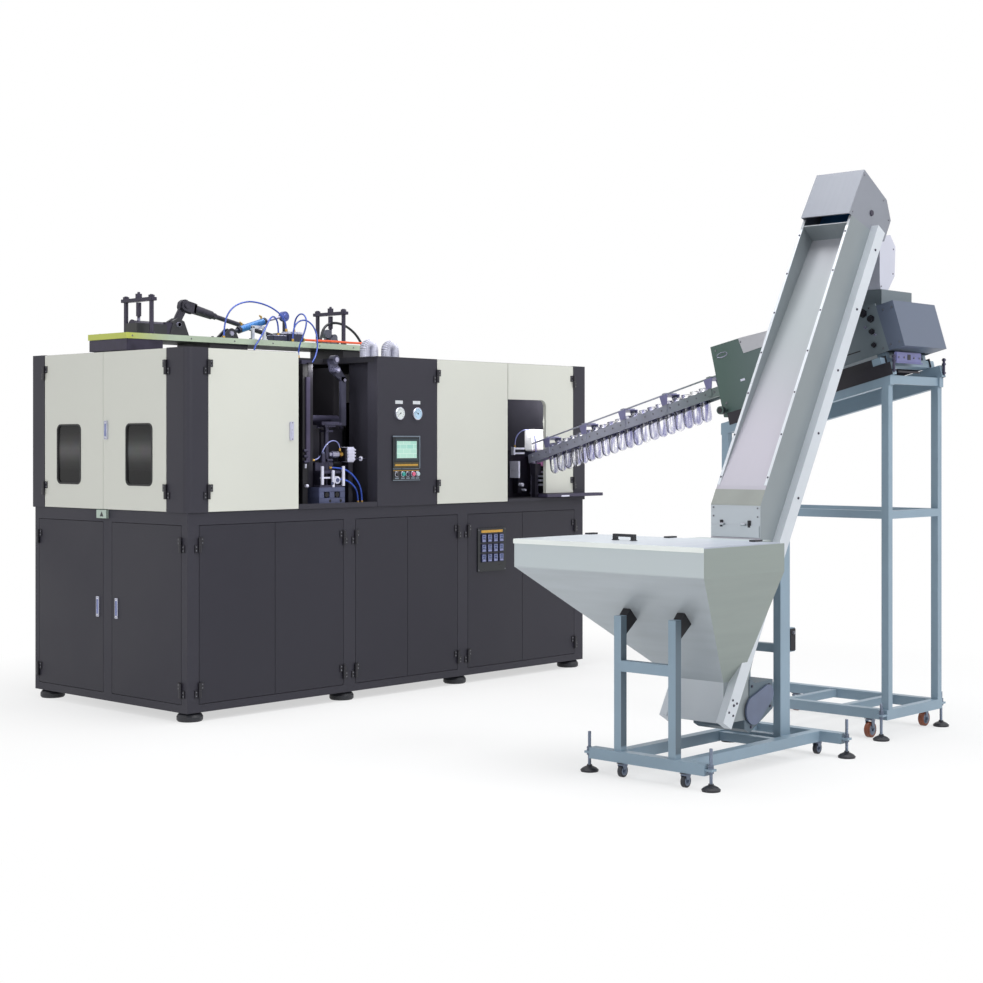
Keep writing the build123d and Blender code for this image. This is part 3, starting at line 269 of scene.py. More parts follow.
class Piece:
    """A piece in the making: blocks, bars and plates in millimetres that join one mesh."""

    def __init__(self, *rows):
        self.mesh = bmesh.new()
        self.add(*rows)

    def add(self, *rows):
        """Blocks and bars. A bar's row starts with its two ends."""
        for row in rows:
            (self.block if isinstance(row[0], (int, float)) else self.bar)(*row)
        return self

    def soften(self, verts, soft):
        if soft:
            edges = list({edge for vert in verts for edge in vert.link_edges})
            bmesh.ops.bevel(self.mesh, geom=edges, offset=soft / 1000, segments=2, affect="EDGES")

    def block(self, x0, x1, y0, y1, z0, z1, soft=0):
        """A block between two corners, its edges rounded by soft."""
        made = bmesh.ops.create_cube(self.mesh, size=1)["verts"]
        for vert in made:
            vert.co = at(*(pair[side > 0] for pair, side in zip(((x0, x1), (y0, y1), (z0, z1)), vert.co)))
        self.soften(made, soft)

    def bar(self, start, end, radius, sides=20, tip=None):
        """A round bar or cone between two points."""
        near, far = at(*start), at(*end)
        turn = (far - near).to_track_quat("Z", "Y").to_matrix().to_4x4()
        bmesh.ops.create_cone(
            self.mesh, cap_ends=True, segments=sides, radius1=radius / 1000,
            radius2=(radius if tip is None else tip) / 1000, depth=(far - near).length,
            matrix=Matrix.Translation((near + far) / 2) @ turn)

    def prism(self, outline, shift, soft=0):
        """A flat outline of points, thickened by a shift."""
        verts = [self.mesh.verts.new(at(*point)) for point in outline]
        face = self.mesh.faces.new(verts)
        made = bmesh.ops.extrude_face_region(self.mesh, geom=[face])["geom"]
        moved = [item for item in made if isinstance(item, bmesh.types.BMVert)]
        bmesh.ops.translate(self.mesh, verts=moved, vec=Vector(shift) / 1000)
        self.soften(verts + moved, soft)
        return self

    def tube(self, points, radius, sides=12):
        """A pipe along points; radius may be one number, or one for each point."""
        line = [at(*point) for point in points]
        radii = radius if isinstance(radius, list) else [radius] * len(line)
        rings = []
        up = None
        for index, centre in enumerate(line):
            ahead = (line[min(index + 1, len(line) - 1)] - line[max(index - 1, 0)]).normalized()
            up = up or ahead.orthogonal().normalized()
            up = (up - ahead * up.dot(ahead)).normalized()
            side = ahead.cross(up)
            rings.append([self.mesh.verts.new(centre + (up * far + side * off) * radii[index] / 1000)
                          for far, off in ring(1, sides)])
        for one, other in zip(rings, rings[1:]):
            for k in range(sides):
                self.mesh.faces.new((one[k], one[(k + 1) % sides], other[(k + 1) % sides], other[k]))
        self.mesh.faces.new(rings[0])
        self.mesh.faces.new(rings[-1])
        return self

    def place(self, name, paint, body="machine", slot="mechanism", stands_for=None):
        """Turns the mesh into an object that rides on a body."""
        bmesh.ops.recalc_face_normals(self.mesh, faces=self.mesh.faces[:])
        mesh = bpy.data.meshes.new(name)
        self.mesh.to_mesh(mesh)
        self.mesh.free()
        mesh.materials.append(paint)
        settled(name, mesh, body, stands_for)


brass = finish("brass", (196, 158, 80), 0.3, 0.8, 0.15, 40)
fittings = Piece()
for name, radius, length, colour, points in hoses:
    for foot, next_point in ((points[0], points[1]), (points[-1], points[-2])):
        foot = Vector(foot)
        run = (Vector(next_point) - foot).normalized()
        fittings.add((foot, foot + run * 9, radius + 4, 6), (foot + run * 9, foot + run * 17, radius + 2.5))
fittings.place("hose_fittings", brass)

# CABINETS
# Welded steel sheet and tube in charcoal powder coat: a lower cabinet of three
# rooms, and above it four columns, a deck and a roof. The back is closed by
# plain sheets, and the inside is lined and floored with darker sheets: painted shade.


def dress(paint, *names):
    """Gives modelled parts of the machine a finish."""
    for name in names:
        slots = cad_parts[name].data.materials
        slots.clear()
        slots.append(paint)


charcoal = finish("charcoal_coat", (52, 51, 60), 0.5, 0, 0.035, 2.2, 700, 0.12)
charcoal_door = finish("charcoal_door_coat", (47, 46, 55), 0.48, 0, 0.03, 1.6, 700, 0.12)
for paint in (charcoal, charcoal_door):
    paint.node_tree.nodes["Principled BSDF"].inputs["Specular IOR Level"].default_value = 0.3
# A darker coat for the real dark joints between sheets, and for painted shade: the dark sheets inside the
# cabinet and the louvres' painted shadow.
dark_joints_and_painted_shade = finish("dark_joints_and_painted_shade_coat", (33, 32, 40), 0.6, 0, 0.2, 3)
dress(charcoal, "lower_cabinet", "upper_frame", "control_column", "rear_cover")
dress(charcoal_door, "lower_end_door_left", "lower_end_door_right",
      *(f"lower_front_door_{number}" for number in range(1, 7)))
# Dark sheets that line the upper rooms and the opening above the bay: painted shade.
Piece(
    (150, 3170, 1452, 1459, 1141, 1979), (1000, 3278, 30, 1458, 1140.2, 1142),
    (3270, 3278, 152, 1328, 1142, 1979), (150, 780, 28.5, 1452, 1975, 1979.8),
    (1395, 3270, 28.5, 1452, 1975, 1979.8), (784, 1391, 484, 1452, 1975, 1979.8),
    (784, 1391, 478.4, 480.2, 1976, 2009.6), (1389.2, 1391.2, 28.5, 480, 1976, 2009.6)
).place("cabinet_lining", dark_joints_and_painted_shade, slot="dark_paint")
rooms = ((62, 1148), (1207, 2098), (2157, 3238))
# The lower rooms' floors are dark sheets too: painted shade.
Piece(*((x0, x1, 62, 1418, 90.2, 92) for x0, x1 in rooms)).place("lower_room_floors", dark_joints_and_painted_shade, slot="dark_paint")

# PALE DOORS
# Pressed steel doors in warm white powder coat, three on the front and two on
# the left end. Their coat is smoother than the cabinet's.
warm_white = finish("warm_white_coat", (217, 218, 209), 0.38, 0, 0.012, 1.5, 700, 0.06)
dress(warm_white, "end_door_left", "end_door_right", "front_door_1", "front_door_2", "front_door_3")

# DOOR HINGES
# Black zinc hinges, two to a door: a leaf and a knuckle on the frame below, a
# leaf and a knuckle on the door above, round a pin, with two screws in each leaf.
hinge_black = finish("hinge_black", (27, 26, 34), 0.35, 0, 0.15, 40)
screw_steel = finish("screw_steel", (120, 120, 128), 0.3, 0.7, 0.1, 60)


def growing_tree(name, sizes, grow):
    """A tree that puts a shape on every point, along the point's facing, and gives it its finish."""
    tree, take, give = new_tree(name, "Geometry", (("Points", "Geometry"), *sizes, ("Finish", "Material")),
                                (("Grown", "Geometry"),))
    facing = node(tree, "GeometryNodeInputNamedAttribute", {"Name": "facing"}, data_type="FLOAT_VECTOR")
    turn = node(tree, "FunctionNodeAlignRotationToVector", {"Vector": facing.outputs["Attribute"]}, axis="Z")
    put = node(tree, "GeometryNodeInstanceOnPoints",
               {"Points": take["Points"], "Instance": grow(tree, take), "Rotation": turn})
    real = node(tree, "GeometryNodeRealizeInstances", {0: put})
    feed(tree, give, {0: node(tree, "GeometryNodeSetMaterial", {"Geometry": real, "Material": take["Finish"]})})
    return tree


def head(tree, take):
    """A screw's head, a little narrower at its top."""
    crown = node(tree, "Math", {0: take["Radius"], 1: 0.82}, operation="MULTIPLY")
    return node(tree, "GeometryNodeMeshCone", {"Radius Bottom": take["Radius"], "Radius Top": crown,
                                               "Depth": take["Height"], "Vertices": take["Sides"]})


screw_heads = growing_tree("screw_heads", (("Radius", "Float"), ("Height", "Float"), ("Sides", "Int")), head)


def grown(name, spots, tree, values, body="machine", stands_for=None):
    """A plain mesh of what a tree puts on spots, each a place and the way it faces."""
    seeds = bpy.data.meshes.new(name + "_seeds")
    seeds.from_pydata([at(*place) for place, facing in spots], [], [])
    facing = seeds.attributes.new("facing", "FLOAT_VECTOR", "POINT")
    for index, spot in enumerate(spots):
        facing.data[index].vector = Vector(spot[1]).normalized()
    seed = stood(name + "_seed", seeds)
    work = seed.modifiers.new("work", "NODES")
    work.node_group = tree
    for item in tree.interface.items_tree:
        if item.in_out == "INPUT" and item.name in values:
            work[item.identifier] = values[item.name]
    ready = bpy.context.evaluated_depsgraph_get()
    mesh = bpy.data.meshes.new_from_object(seed.evaluated_get(ready), depsgraph=ready)
    bpy.data.objects.remove(seed)
    mesh.name = name
    settled(name, mesh, body, stands_for)


def screws(name, spots, radius, height, paint=screw_steel, body="machine", sides=12):
    sizes = {"Radius": radius / 1000, "Height": height / 1000, "Sides": sides, "Finish": paint}
    grown(name, spots, screw_heads, sizes, body)


upper_zs = (1233, 1905)
lower_zs = (171, 949)
door_hinges = (
    ("front_door_1", "front", 141, 1, 0, upper_zs), ("front_door_2", "front", 1891, 1, 0, upper_zs),
    ("front_door_3", "front", 3181, -1, 0, upper_zs), ("end_door_right", "end", 179, 1, 0, upper_zs),
    ("end_door_left", "end", 1355, -1, 0, upper_zs), ("lower_end_door_right", "end", 60, 1, 10, lower_zs),
    ("lower_end_door_left", "end", 1430, -1, 10, lower_zs),
    ("lower_front_door_1", "front", 88, 1, 10, lower_zs),
    ("lower_front_door_2", "front", 1131, -1, 10, lower_zs),
    ("lower_front_door_3", "front", 1223, 1, 10, lower_zs),
    ("lower_front_door_4", "front", 2083, -1, 10, lower_zs),
    ("lower_front_door_5", "front", 2173, 1, 10, lower_zs),
    ("lower_front_door_6", "front", 3203, -1, 10, lower_zs))


def half_hinge(piece, spots, side, along, way, face, z0, z1):
    """One leaf with its knuckle, and the places of its two screws."""
    near, far = sorted((along + way * 5, along + way * 30.6))
    if side == "front":
        piece.add((near, far, face - 5, face + 0.2, z0, z1, 0.8),
                  ((along, face - 9, z0), (along, face - 9, z1), 8.9, 24))
        spots += [((along + way * 20, face - 5, z), (0, -1, 0)) for z in (z0 + 10, z1 - 10)]
    else:
        piece.block(face - 5, face + 0.2, near, far, z0, z1, 0.8)
        rim = [(face - 9 + max(-7.28, across), along + up, z0) for across, up in ring(8.9, 24)]
        piece.prism(rim, (0, 0, z1 - z0))
        spots += [((face - 5, along + way * 20, z), (-1, 0, 0)) for z in (z0 + 10, z1 - 10)]


fixed_hinges, fixed_spots = Piece(), []
for name, side, along, way, face, zs in door_hinges:
    moving, spots = Piece(), []
    for z in zs:
        half_hinge(moving, spots, side, along, way, face, z + 0.25, z + 40)
        half_hinge(fixed_hinges, fixed_spots, side, along, -way, face, z - 40, z - 0.25)
    moving.place(name + "_hinges", hinge_black, name, "black_paint")
    screws(name + "_hinge_screws", spots, 4, 1.6, body=name)
fixed_hinges.place("frame_hinges", hinge_black, slot="black_paint", stands_for="hinge_fixed_leaves")
screws("frame_hinge_screws", fixed_spots, 4, 1.6)

# DOOR HANDLES
# Flush paddle handles: a chromed frame round a blue-grey paddle, with a screw
# above and below, on both upper doors beside the split and both lower end doors.
chrome = finish("chrome", (205, 207, 222), 0.16, 0.85, 0.05, 30)
paddle_grey = finish("paddle_grey", (118, 128, 176), 0.25, 0.5, 0.12, 30)
pale_handle = finish("pale_handle", (203, 203, 226), 0.3, 0.2, 0.05, 30)
for name, side, along, face, z0, z1, wide, proud, frame_finish, paddle_finish in (
        ("end_door_right", "end", 730, 0, 1524, 1614, 24, 12, chrome, paddle_grey),
        ("front_door_1", "front", 724, 0, 1519, 1609, 20, 14, pale_handle, pale_handle),
        ("lower_end_door_right", "end", 648.5, 10, 524, 624, 26, 6, chrome, paddle_grey),
        ("lower_end_door_left", "end", 828.5, 10, 524, 624, 26, 6, chrome, paddle_grey)):
    half = wide / 2
    frame_rows = ((-half - 1, -half + 5, -0.2, proud + 1, z0 - 7, z1 + 7, 1.5),
                  (half - 5, half + 1, -0.2, proud + 1, z0 - 7, z1 + 7, 1.5),
                  (-half + 4, half - 4, -0.2, proud + 1, z0 - 7, z0 + 10, 1.5),
                  (-half + 4, half - 4, -0.2, proud + 1, z1 - 10, z1 + 7, 1.5))
    paddle_rows = ((-half + 5, half - 5, -0.2, proud + 0.4, z0 + 9, z1 - 9, 0.3),
                   (-half + 5, half - 5, proud, proud + 1.6, z0 + 12, z0 + 40, 0.6))
    for part, rows, paint in (("frame", frame_rows, frame_finish), ("paddle", paddle_rows, paddle_finish)):
        piece = Piece()
        for a0, a1, out0, out1, low, high, soft in rows:
            spans = (along + a0, along + a1), (face - out1, face - out0)
            (x0, x1), (y0, y1) = spans if side == "front" else spans[::-1]
            piece.block(x0, x1, y0, y1, low, high, soft)
        piece.place(f"{name}_handle_{part}", paint, name)
    spots = [((along, face - proud - 1, z), (0, -1, 0)) if side == "front"
             else ((face - proud - 1, along, z), (-1, 0, 0)) for z in (z0 - 1, z1 + 1)]
    screws(name + "_handle_screws", spots, 3.2, 1.2, body=name)

# WINDOWS
# Smoked acrylic panes in black rubber gaskets that are pressed round the
# doors' edges. The pane's colour is a painted reflection: near black at the
# top and bottom, lightest in a band across its middle.
gasket_rubber = finish("gasket_rubber", (22, 22, 25), 0.55, 0, 0.1, 30)
pane_painted_reflection, tree, shader = bare_material("smoked_pane_painted_reflection")
place = node(tree, "TexCoord").outputs["Object"]
split = node(tree, "SeparateXYZ", {0: place})
# The colour runs by height from near black at top and bottom to a light band across the middle: a painted
# reflection.
height = node(tree, "MapRange", {"Value": split.outputs["Z"], "From Min": 1.265, "From Max": 1.6})
painted_reflection_bands = node(tree, "ValToRGB", {"Fac": height})
ramp = painted_reflection_bands.color_ramp
for end, position, tone in ((0, 0.06, (18, 18, 18)), (1, 0.97, (20, 21, 21))):
    ramp.elements[end].position = position
    ramp.elements[end].color = shade(tone)
for position, grey in ((0.22, 24), (0.36, 50), (0.52, 88), (0.6, 90), (0.74, 56), (0.86, 34)):
    ramp.elements.new(position).color = shade((grey, grey, grey))
haze = node(tree, "TexNoise", {"Vector": place, "Scale": 14})
mottle = colour_mix(tree, 0.25, painted_reflection_bands, haze.outputs["Color"], blend_type="MULTIPLY")
feed(tree, shader, {"Base Color": mottle, "Roughness": 0.22, "Specular IOR Level": 0.2})
dress(pane_painted_reflection, "window_left", "window_right")


def rounded(y0, y1, z0, z1, radius, steps=8):
    """The corners of a rounded rectangle, going round once."""
    points = []
    for cy, cz, start in ((y1 - radius, z1 - radius, 0), (y0 + radius, z1 - radius, 90),
                          (y0 + radius, z0 + radius, 180), (y1 - radius, z0 + radius, 270)):
        for step in range(steps + 1):
            turn = math.radians(start + 90 * step / steps)
            points.append((cy + radius * math.cos(turn), cz + radius * math.sin(turn)))
    return points


for name, y0, y1 in (("right", 309, 549), ("left", 989, 1223)):
    gasket = Piece()
    rows = []
    for grow, out in ((-7, 5.5), (-5, -2.2), (2.5, -3), (5, -0.2), (-7, 5.5)):
        loop = rounded(y0 - grow, y1 + grow, 1265 - grow, 1600 + grow, 30 + grow)
        rows.append([gasket.mesh.verts.new(at(out, y, z)) for y, z in loop])
    for one, other in zip(rows, rows[1:]):
        for k in range(len(one)):
            gasket.mesh.faces.new((one[k - 1], one[k], other[k], other[k - 1]))
    gasket.place(f"window_{name}_gasket", gasket_rubber, f"end_door_{name}", "rubber")

# BACK AND END SHEETS
# The plain sheets behind and at the right end, in the cabinet's charcoal: butt
# joints, rows of screws and, over the oven and the drives, rows of dark strips
# where pressed louvres sit: painted shadow.
back, back_out = 1479.8, 1480.04
Piece(
    *((x - 1.5, x + 1.5, back, back_out, 62, 2006) for x in (1100, 2200)),
    (4, 3296, back, back_out, 1120, 1123),
    (3299.8, 3300.4, 4, 1476, 1120, 1123), (3299.8, 3300.4, 149, 151.5, 1124, 2006)
).place("sheet_joints", dark_joints_and_painted_shade, slot="dark_paint")
# Flat dark strips in rows stand for the louvres' openings: painted shadow.
Piece(
    *((x - 170, x + 170, back, back_out, 1730 + level * 22, 1737 + level * 22)
      for x in (560, 1650, 2750) for level in range(9)),
    *((3299.5, 3303, 620, 960, 730 + level * 22, 739 + level * 22, 1) for level in range(9))
).place("sheet_louvres", dark_joints_and_painted_shade, slot="dark_paint")
heights = (90, 600, 1090, 1160, 1560, 1975)
screws("end_sheet_screws", [((3300, y, z), (1, 0, 0)) for y in (180, 700, 1250, 1450) for z in heights], 7, 3,
       hinge_black)
screws("back_sheet_screws",
       [((x, 1480, z), (0, 1, 0)) for x in (30, 560, 1070, 1130, 1650, 2170, 2230, 2750, 3270)
                             for z in heights], 7, 0.04, hinge_black)

# LATCH PLATE
# A small bright steel plate below the end doors' split, with a dark slot, that
# catches both doors' bolts.
Piece().prism([(-9, 726, 1074), (-9, 820, 1074), (-9, 820, 1121), (-9, 726, 1121)], (18.6, 0, 0), 1).place(
    "latch_plate", finish("latch_zinc", (176, 192, 182), 0.35, 0.4, 0.08))
# The slot is a flat black triangle on the plate: painted shade.
Piece().prism([(-9.8, 752, 1084), (-9.8, 786, 1084), (-9.8, 768, 1112)], (0.7, 0, 0)).place(
    "latch_slot", hinge_black, slot="black_paint")

# CONTROL PANEL
# A black bezel plate with a bright edge on the column: a touch screen with
# plain coloured fields, a bare gilt strip below it, and a row of push buttons.
bezel_black = finish("bezel_black", (24, 28, 33), 0.32, 0, 0.1, 20)
edge_grey = finish("edge_grey", (128, 140, 152), 0.3, 0.4, 0.1, 20)
dress(bezel_black, "touch_screen")
Piece(
    (1509, 1737, -10, -7.6, 1533, 1540, 0.5), (1731, 1737, -10, -7.6, 1344, 1533, 0.5),
    (1509, 1737, -9.5, -7.6, 1272, 1276, 0.5), (1509, 1731, -9.5, -7.6, 1341, 1344, 0.5)
).place("panel_edging", edge_grey, slot="black_paint")
Piece(
    (1530, 1726, -9.4, -7.6, 1511, 1523, 0.8), (1530, 1726, -9.4, -7.6, 1392, 1404, 0.8),
    (1530, 1541, -9.4, -7.6, 1404, 1511, 0.8), (1713, 1726, -9.4, -7.6, 1404, 1511, 0.8)
).place("screen_frame", finish("screen_plastic", (44, 60, 66)), slot="black_paint")
lit, tree, shader = bare_material("lit_screen")
place = node(tree, "Mapping",
             {"Vector": node(tree, "TexCoord").outputs["Object"], "Location": -at(1543, 0, 1406)})
parts = node(tree, "SeparateXYZ", {0: place}).outputs
fields = node(tree, "TexBrick", {
    "Vector": node(tree, "CombineXYZ", {"X": parts["X"], "Y": parts["Z"]}), "Scale": 9, "Mortar Size": 0.012,
    "Color1": shade((176, 216, 200)), "Color2": shade((150, 204, 190)), "Mortar": shade((205, 228, 216))})
feed(tree, shader,
     {"Base Color": fields, "Emission Color": fields, "Emission Strength": 0.18, "Roughness": 0.15})
Piece((1542, 1712, -7, -6, 1405, 1510)).place("screen_glass", lit, slot="black_paint")
Piece((1520, 1726, -9, -7.8, 1350, 1381, 0.4)).place(
    "panel_strip", finish("dark_olive", (74, 66, 34), 0.35, 0, 0.2, 60), slot="black_paint")
gilt = finish("gilt", (205, 158, 66), 0.35, 0.3, 0.15, 80)
Piece((1528, 1718, -9.8, -8.9, 1360, 1370, 0.3), (1512, 1730, -9.2, -7.8, 1330, 1333, 0.3)).place(
    "panel_gilt_trim", gilt, slot="black_paint")

# PUSH BUTTONS
# Five round buttons with domed plastic caps in chromed guard rings. The rings
# stay on the panel; each cap travels on its stem.
buttons = (("start", 1543, (30, 30, 36)), ("auto", 1593, (40, 158, 148)), ("manual", 1635, (44, 42, 66)),
           ("stop", 1677, (226, 96, 130)), ("reset", 1715, (186, 206, 214)))
button_z = 1311
rings = Piece()
for name, x, colour in buttons:
    plastic = finish(f"{name}_button_plastic", colour, 0.25, 0, 0.08, 60, coat=0.3)
    Piece(
        ((x, -13, button_z), (x, -19, button_z), 12.8, 32),
        ((x, -19, button_z), (x, -21.8, button_z), 12.8, 32, 10),
        ((x, -8, button_z), (x, -13, button_z), 7.8, 24)
    ).place(f"{name}_button_cap", plastic, f"button_{name}", "button_plastic", f"button_{name}")
    rings.tube([(x + across, -9.6, button_z + up) for across, up in ring(15, 24, 25)], 1.9, 10)
rings.place("button_rings", chrome)
Piece(*((x - 15, x + 15, -8.8, -7.8, 1282, 1290, 0.3) for name, x, colour in buttons)).place(
    "button_tabs", edge_grey, slot="black_paint")

# PRESSURE GAUGES
# Two round gauges with chromed bezels and a bare plate above each: a white and
# a pale blue face, with printed ticks and a black needle.
gauges = (("low", 1568, (226, 232, 232), 215, "gauges"), ("high", 1715, (186, 216, 240), 150, None))
gauge_z = 1674
for name, x, colour, angle, stands_for in gauges:
    Piece(
        ((x, 0, gauge_z), (x, -12, gauge_z), 38, 48), ((x, -12, gauge_z), (x, -14, gauge_z), 38, 48, 35)
    ).place(
        f"{name}_gauge_case", chrome, slot="gauge_face", stands_for=stands_for)
    Piece(((x, -13.9, gauge_z), (x, -14.3, gauge_z), 33, 48)).place(
        f"{name}_gauge_face", finish(f"{name}_gauge_paint", colour, 0.3, 0, 0.03), slot="gauge_face")
    ticks = [[(x + math.cos(turn) * r, -14.4, gauge_z + math.sin(turn) * r) for r in (22, 29)]
             for turn in (math.radians(225 - 27 * tick) for tick in range(11))]
    Piece(*((*ends, 0.9, 6) for ends in ticks)).place(f"{name}_gauge_ticks", bezel_black, slot="gauge_face")
    needle = [(x + math.cos(math.radians(angle)) * r, -14.9, gauge_z + math.sin(math.radians(angle)) * r)
              for r in (-7, 25)]
    Piece((*needle, 1.6, 8, 0.5), ((x, -14.2, gauge_z), (x, -16, gauge_z), 4, 20)).place(
        f"{name}_gauge_needle", bezel_black, slot="gauge_face")
Piece(*((x - 31, x + 31, -1.2, 0.2, 1731, 1751, 0.4) for x in (1568, 1715))).place(
    "gauge_plates", finish("plate_white", (214, 218, 222), 0.4, 0, 0.04), slot="gauge_face")

# HEATER CONTROLLERS
# A black plate on a lower door with three rows of four temperature modules:
# each a dark display over lilac keys, under a bare gilt strip.
dress(bezel_black, "heater_controllers")
modules = [(2288 + column * 54, 748 + row * 62) for row in range(3) for column in range(4)]
for name, paint, rows in (
        ("bodies", finish("module_plastic", (28, 32, 66), 0.35, 0, 0.15, 40),
         ((-1, 41, -5.4, 2.5, -1, 53, 1),)),
        ("keys", finish("key_lilac", (140, 146, 190), 0.4, 0, 0.12, 60),
         ((4, 36, -6.4, -5, 4, 15, 0.6), (4, 36, -6, -5, 18, 46, 0.4))),
        ("displays", finish("display_green", (60, 78, 118), 0.15, 0, 0.2, 80),
         ((8, 32, -6.6, -5.8, 33, 43, 0.2), (8, 32, -6.6, -5.8, 21, 30, 0.2)))):
    Piece(*((x + x0, x + x1, y0, y1, z + z0, z + z1, soft) for x, z in modules
            for x0, x1, y0, y1, z0, z1, soft in rows)).place(
        f"controller_{name}", paint, "lower_front_door_5", "black_paint")
Piece((2290, 2486, 0.8, 2.2, 932, 948, 0.4)).place(
    "controller_strip", gilt, "lower_front_door_5", "black_paint")
screws("controller_screws", [((x, 2, z), (0, -1, 0)) for x in (2266, 2510) for z in (698, 950)], 4, 1.6,
       body="lower_front_door_5")

# BLOW UNIT
# The machine's heart in the open bay: blackened platens joined by ground tie
# bars, steel mould halves, and in front of them a gripper station on a
# blue-grey base block with a white air valve, rods and posts.
platen_black = finish("platen_black", (30, 28, 38), 0.42, 0.3, 0.25, 6)
deep_black = finish("deep_black", (17, 15, 22), 0.6, 0, 0.2, 4)
ground_steel = finish("ground_steel", (168, 166, 190), 0.22, 0.7, 0.12, 20)
mould_steel = finish("mould_steel", (66, 64, 84), 0.35, 0.6, 0.2, 10)
block_blue = finish("block_blue", (84, 90, 122), 0.4, 0.2, 0.15, 14)
part_white = finish("part_white", (222, 222, 240), 0.3, 0, 0.06, 20)
Piece(
    (905, 945, 110, 620, 1140, 1950, 2), (1340, 1380, 330, 620, 1140, 1950, 2),
    (905, 1380, 600, 620, 1140, 1950)
).place("clamp_platens", deep_black, stands_for="blow_unit")
Piece((945, 985, 110, 200, 1240, 1960, 2)).place("side_guide", platen_black)
Piece((925, 957, 101, 112, 1387, 1877, 2)).place(
    "guide_strip", finish("column_lilac", (74, 68, 92), 0.35, 0.4, 0.15, 8))
halves = ((985, 1150), (1160, 1330))
Piece(
    *((x0, x1, 240, 600, 1240, 1600, 2) for x0, x1 in halves),
    *((x0 - 4, x1 + 4, 234, 246, z, z + 26, 1) for x0, x1 in halves for z in (1236, 1578))
).place("mould_halves", platen_black)
Piece(*(((945, 300, z), (1340, 300, z), 22, 32) for z in (1640, 1200))).place("tie_bars", mould_steel)
screws("mould_bolts", [((x, 234, z), (0, -1, 0)) for x in (1005, 1128, 1182, 1308) for z in (1249, 1591)],
       8, 7, mould_steel, sides=6)
Piece(
    (970, 1170, 40, 170, 1140, 1179, 2),
    *((x0, x1, 40, 170, 1178, 1216, 2) for x0, x1 in ((970, 1009), (1051, 1089), (1131, 1170))),
    (1009, 1131, 80, 170, 1178, 1216), (970, 1170, 40, 170, 1215, 1240, 2)
).place("gripper_base", block_blue)
# Dark faces set into the base block's pockets, and dark discs on its face, stand for holes: painted shade.
Piece(
    *(((x, 41, 1197), (x, 79, 1197), 15, 24) for x in (1030, 1110)),
    *(((x, 39.6, 1162), (x, 40.6, 1162), 9, 20) for x in (1136, 1054))
).place("base_holes", deep_black)
Piece(
    (986, 1166, 52, 168, 1239, 1252, 1), (1000, 1154, 60, 165, 1320, 1336, 1),
    (1008, 1020, 62, 160, 1250, 1320, 1), (1140, 1150, 100, 160, 1250, 1320, 1),
    (1010, 1150, 120, 160, 1336, 1384, 2), ((1048, 96, 1384), (1048, 96, 1436), 15, 24),
    ((1076, 96, 1396), (1118, 96, 1396), 9), ((1126, 105, 1240), (1126, 105, 1320), 24, 32)
).place("gripper_stage", mould_steel)
Piece(
    *((x - 8, x + 8, 44, 56, z0, z1, 1.5)
      for x, z0, z1 in ((1003, 1255, 1363), (1086, 1240, 1339), (1166, 1246, 1362))),
    ((1102, 58, 1281), (1126, 58, 1281), 1, 8), ((1126, 82, 1281), (1126, 56, 1281), 24, 32, 22)
).place("gripper_posts", part_white)
Piece(
    ((1126, 57, 1281), (1126, 50, 1281), 13, 24, 11), ((1078, 50, 1262), (1078, 44, 1262), 9, 16),
    ((1048, 96, 1436), (1048, 96, 1446), 11, 16, 8)
).place("gripper_knob", block_blue)
Piece(
    ((1104, 130, 1240), (1104, 130, 1590), 15, 24), (1034, 1174, 90, 170, 1600, 1621, 2),
    (1064, 1150, 96, 166, 1590, 1601, 2), (1075, 1133, 100, 160, 1560, 1572, 2),
    ((1186, 100, 1600), (1186, 100, 1616), 11, 16), ((1186, 100, 1608), (1174, 104, 1608), 4, 12)
).place("sensor_mast", mould_steel)
Piece(
    (1245, 1308, 100, 170, 1384, 1473, 7),
    *((1243, 1310, 97, 104, z - 4, z + 4, 1.5) for z in (1402, 1420, 1438, 1456))
).place("air_valve", part_white)
Piece(
    (1260, 1296, 110, 160, 1140, 1384, 2), (1230, 1247, 104, 166, 1388, 1470, 1),
    (1180, 1330, 150, 165, 1376, 1386, 1)
).place("valve_post", platen_black)
Piece(
    ((1142, 130, 1430), (1190, 130, 1430), 20, 32), ((1190, 130, 1430), (1200, 130, 1430), 20, 32, 15),
    ((1120, 130, 1430), (1142, 130, 1430), 14, 24)
).place("silver_sleeve", ground_steel)
Piece(((1199, 130, 1430), (1246, 130, 1430), 11, 24), ((1210, 130, 1430), (1222, 130, 1430), 17, 6)).place(
    "brass_nipple", brass)
Piece().prism(
    [(1140, 150, 1990), (1190, 150, 1990), (1290, 150, 1870), (1262, 150, 1850), (1160, 150, 1915)],
    (0, 20, 0), 3
).add(
    ((1166, 110, 1985), (1166, 150, 1985), 26, 32), ((1181, 110, 1925), (1181, 150, 1925), 20, 32),
    (1240, 1280, 150, 170, 1600, 1890, 2), (1240, 1280, 170, 240, 1600, 1640, 2)
).place("cam_rocker", finish("rocker_grey", (62, 62, 78), 0.35, 0.4, 0.15, 12))
Piece(
    *(((x, 104, z), (x, 111, z), r, 24, r * 0.8) for x, z, r in ((1166, 1985, 14), (1181, 1925, 10))),
    ((1268, 146, 1868), (1268, 150, 1868), 10, 20)
).place("rocker_pins", ground_steel)
Piece(
    (904, 988, 118, 200, 1951, 1974, 2), ((905, 150, 1935), (985, 150, 1935), 14, 24),
    *(((908, 104, z), (936, 104, z), 8, 16) for z in (1452, 1420, 1388)),
    ((1304, 96, 1404), (1388, 96, 1404), 4, 12)
).place("bay_fittings", mould_steel)
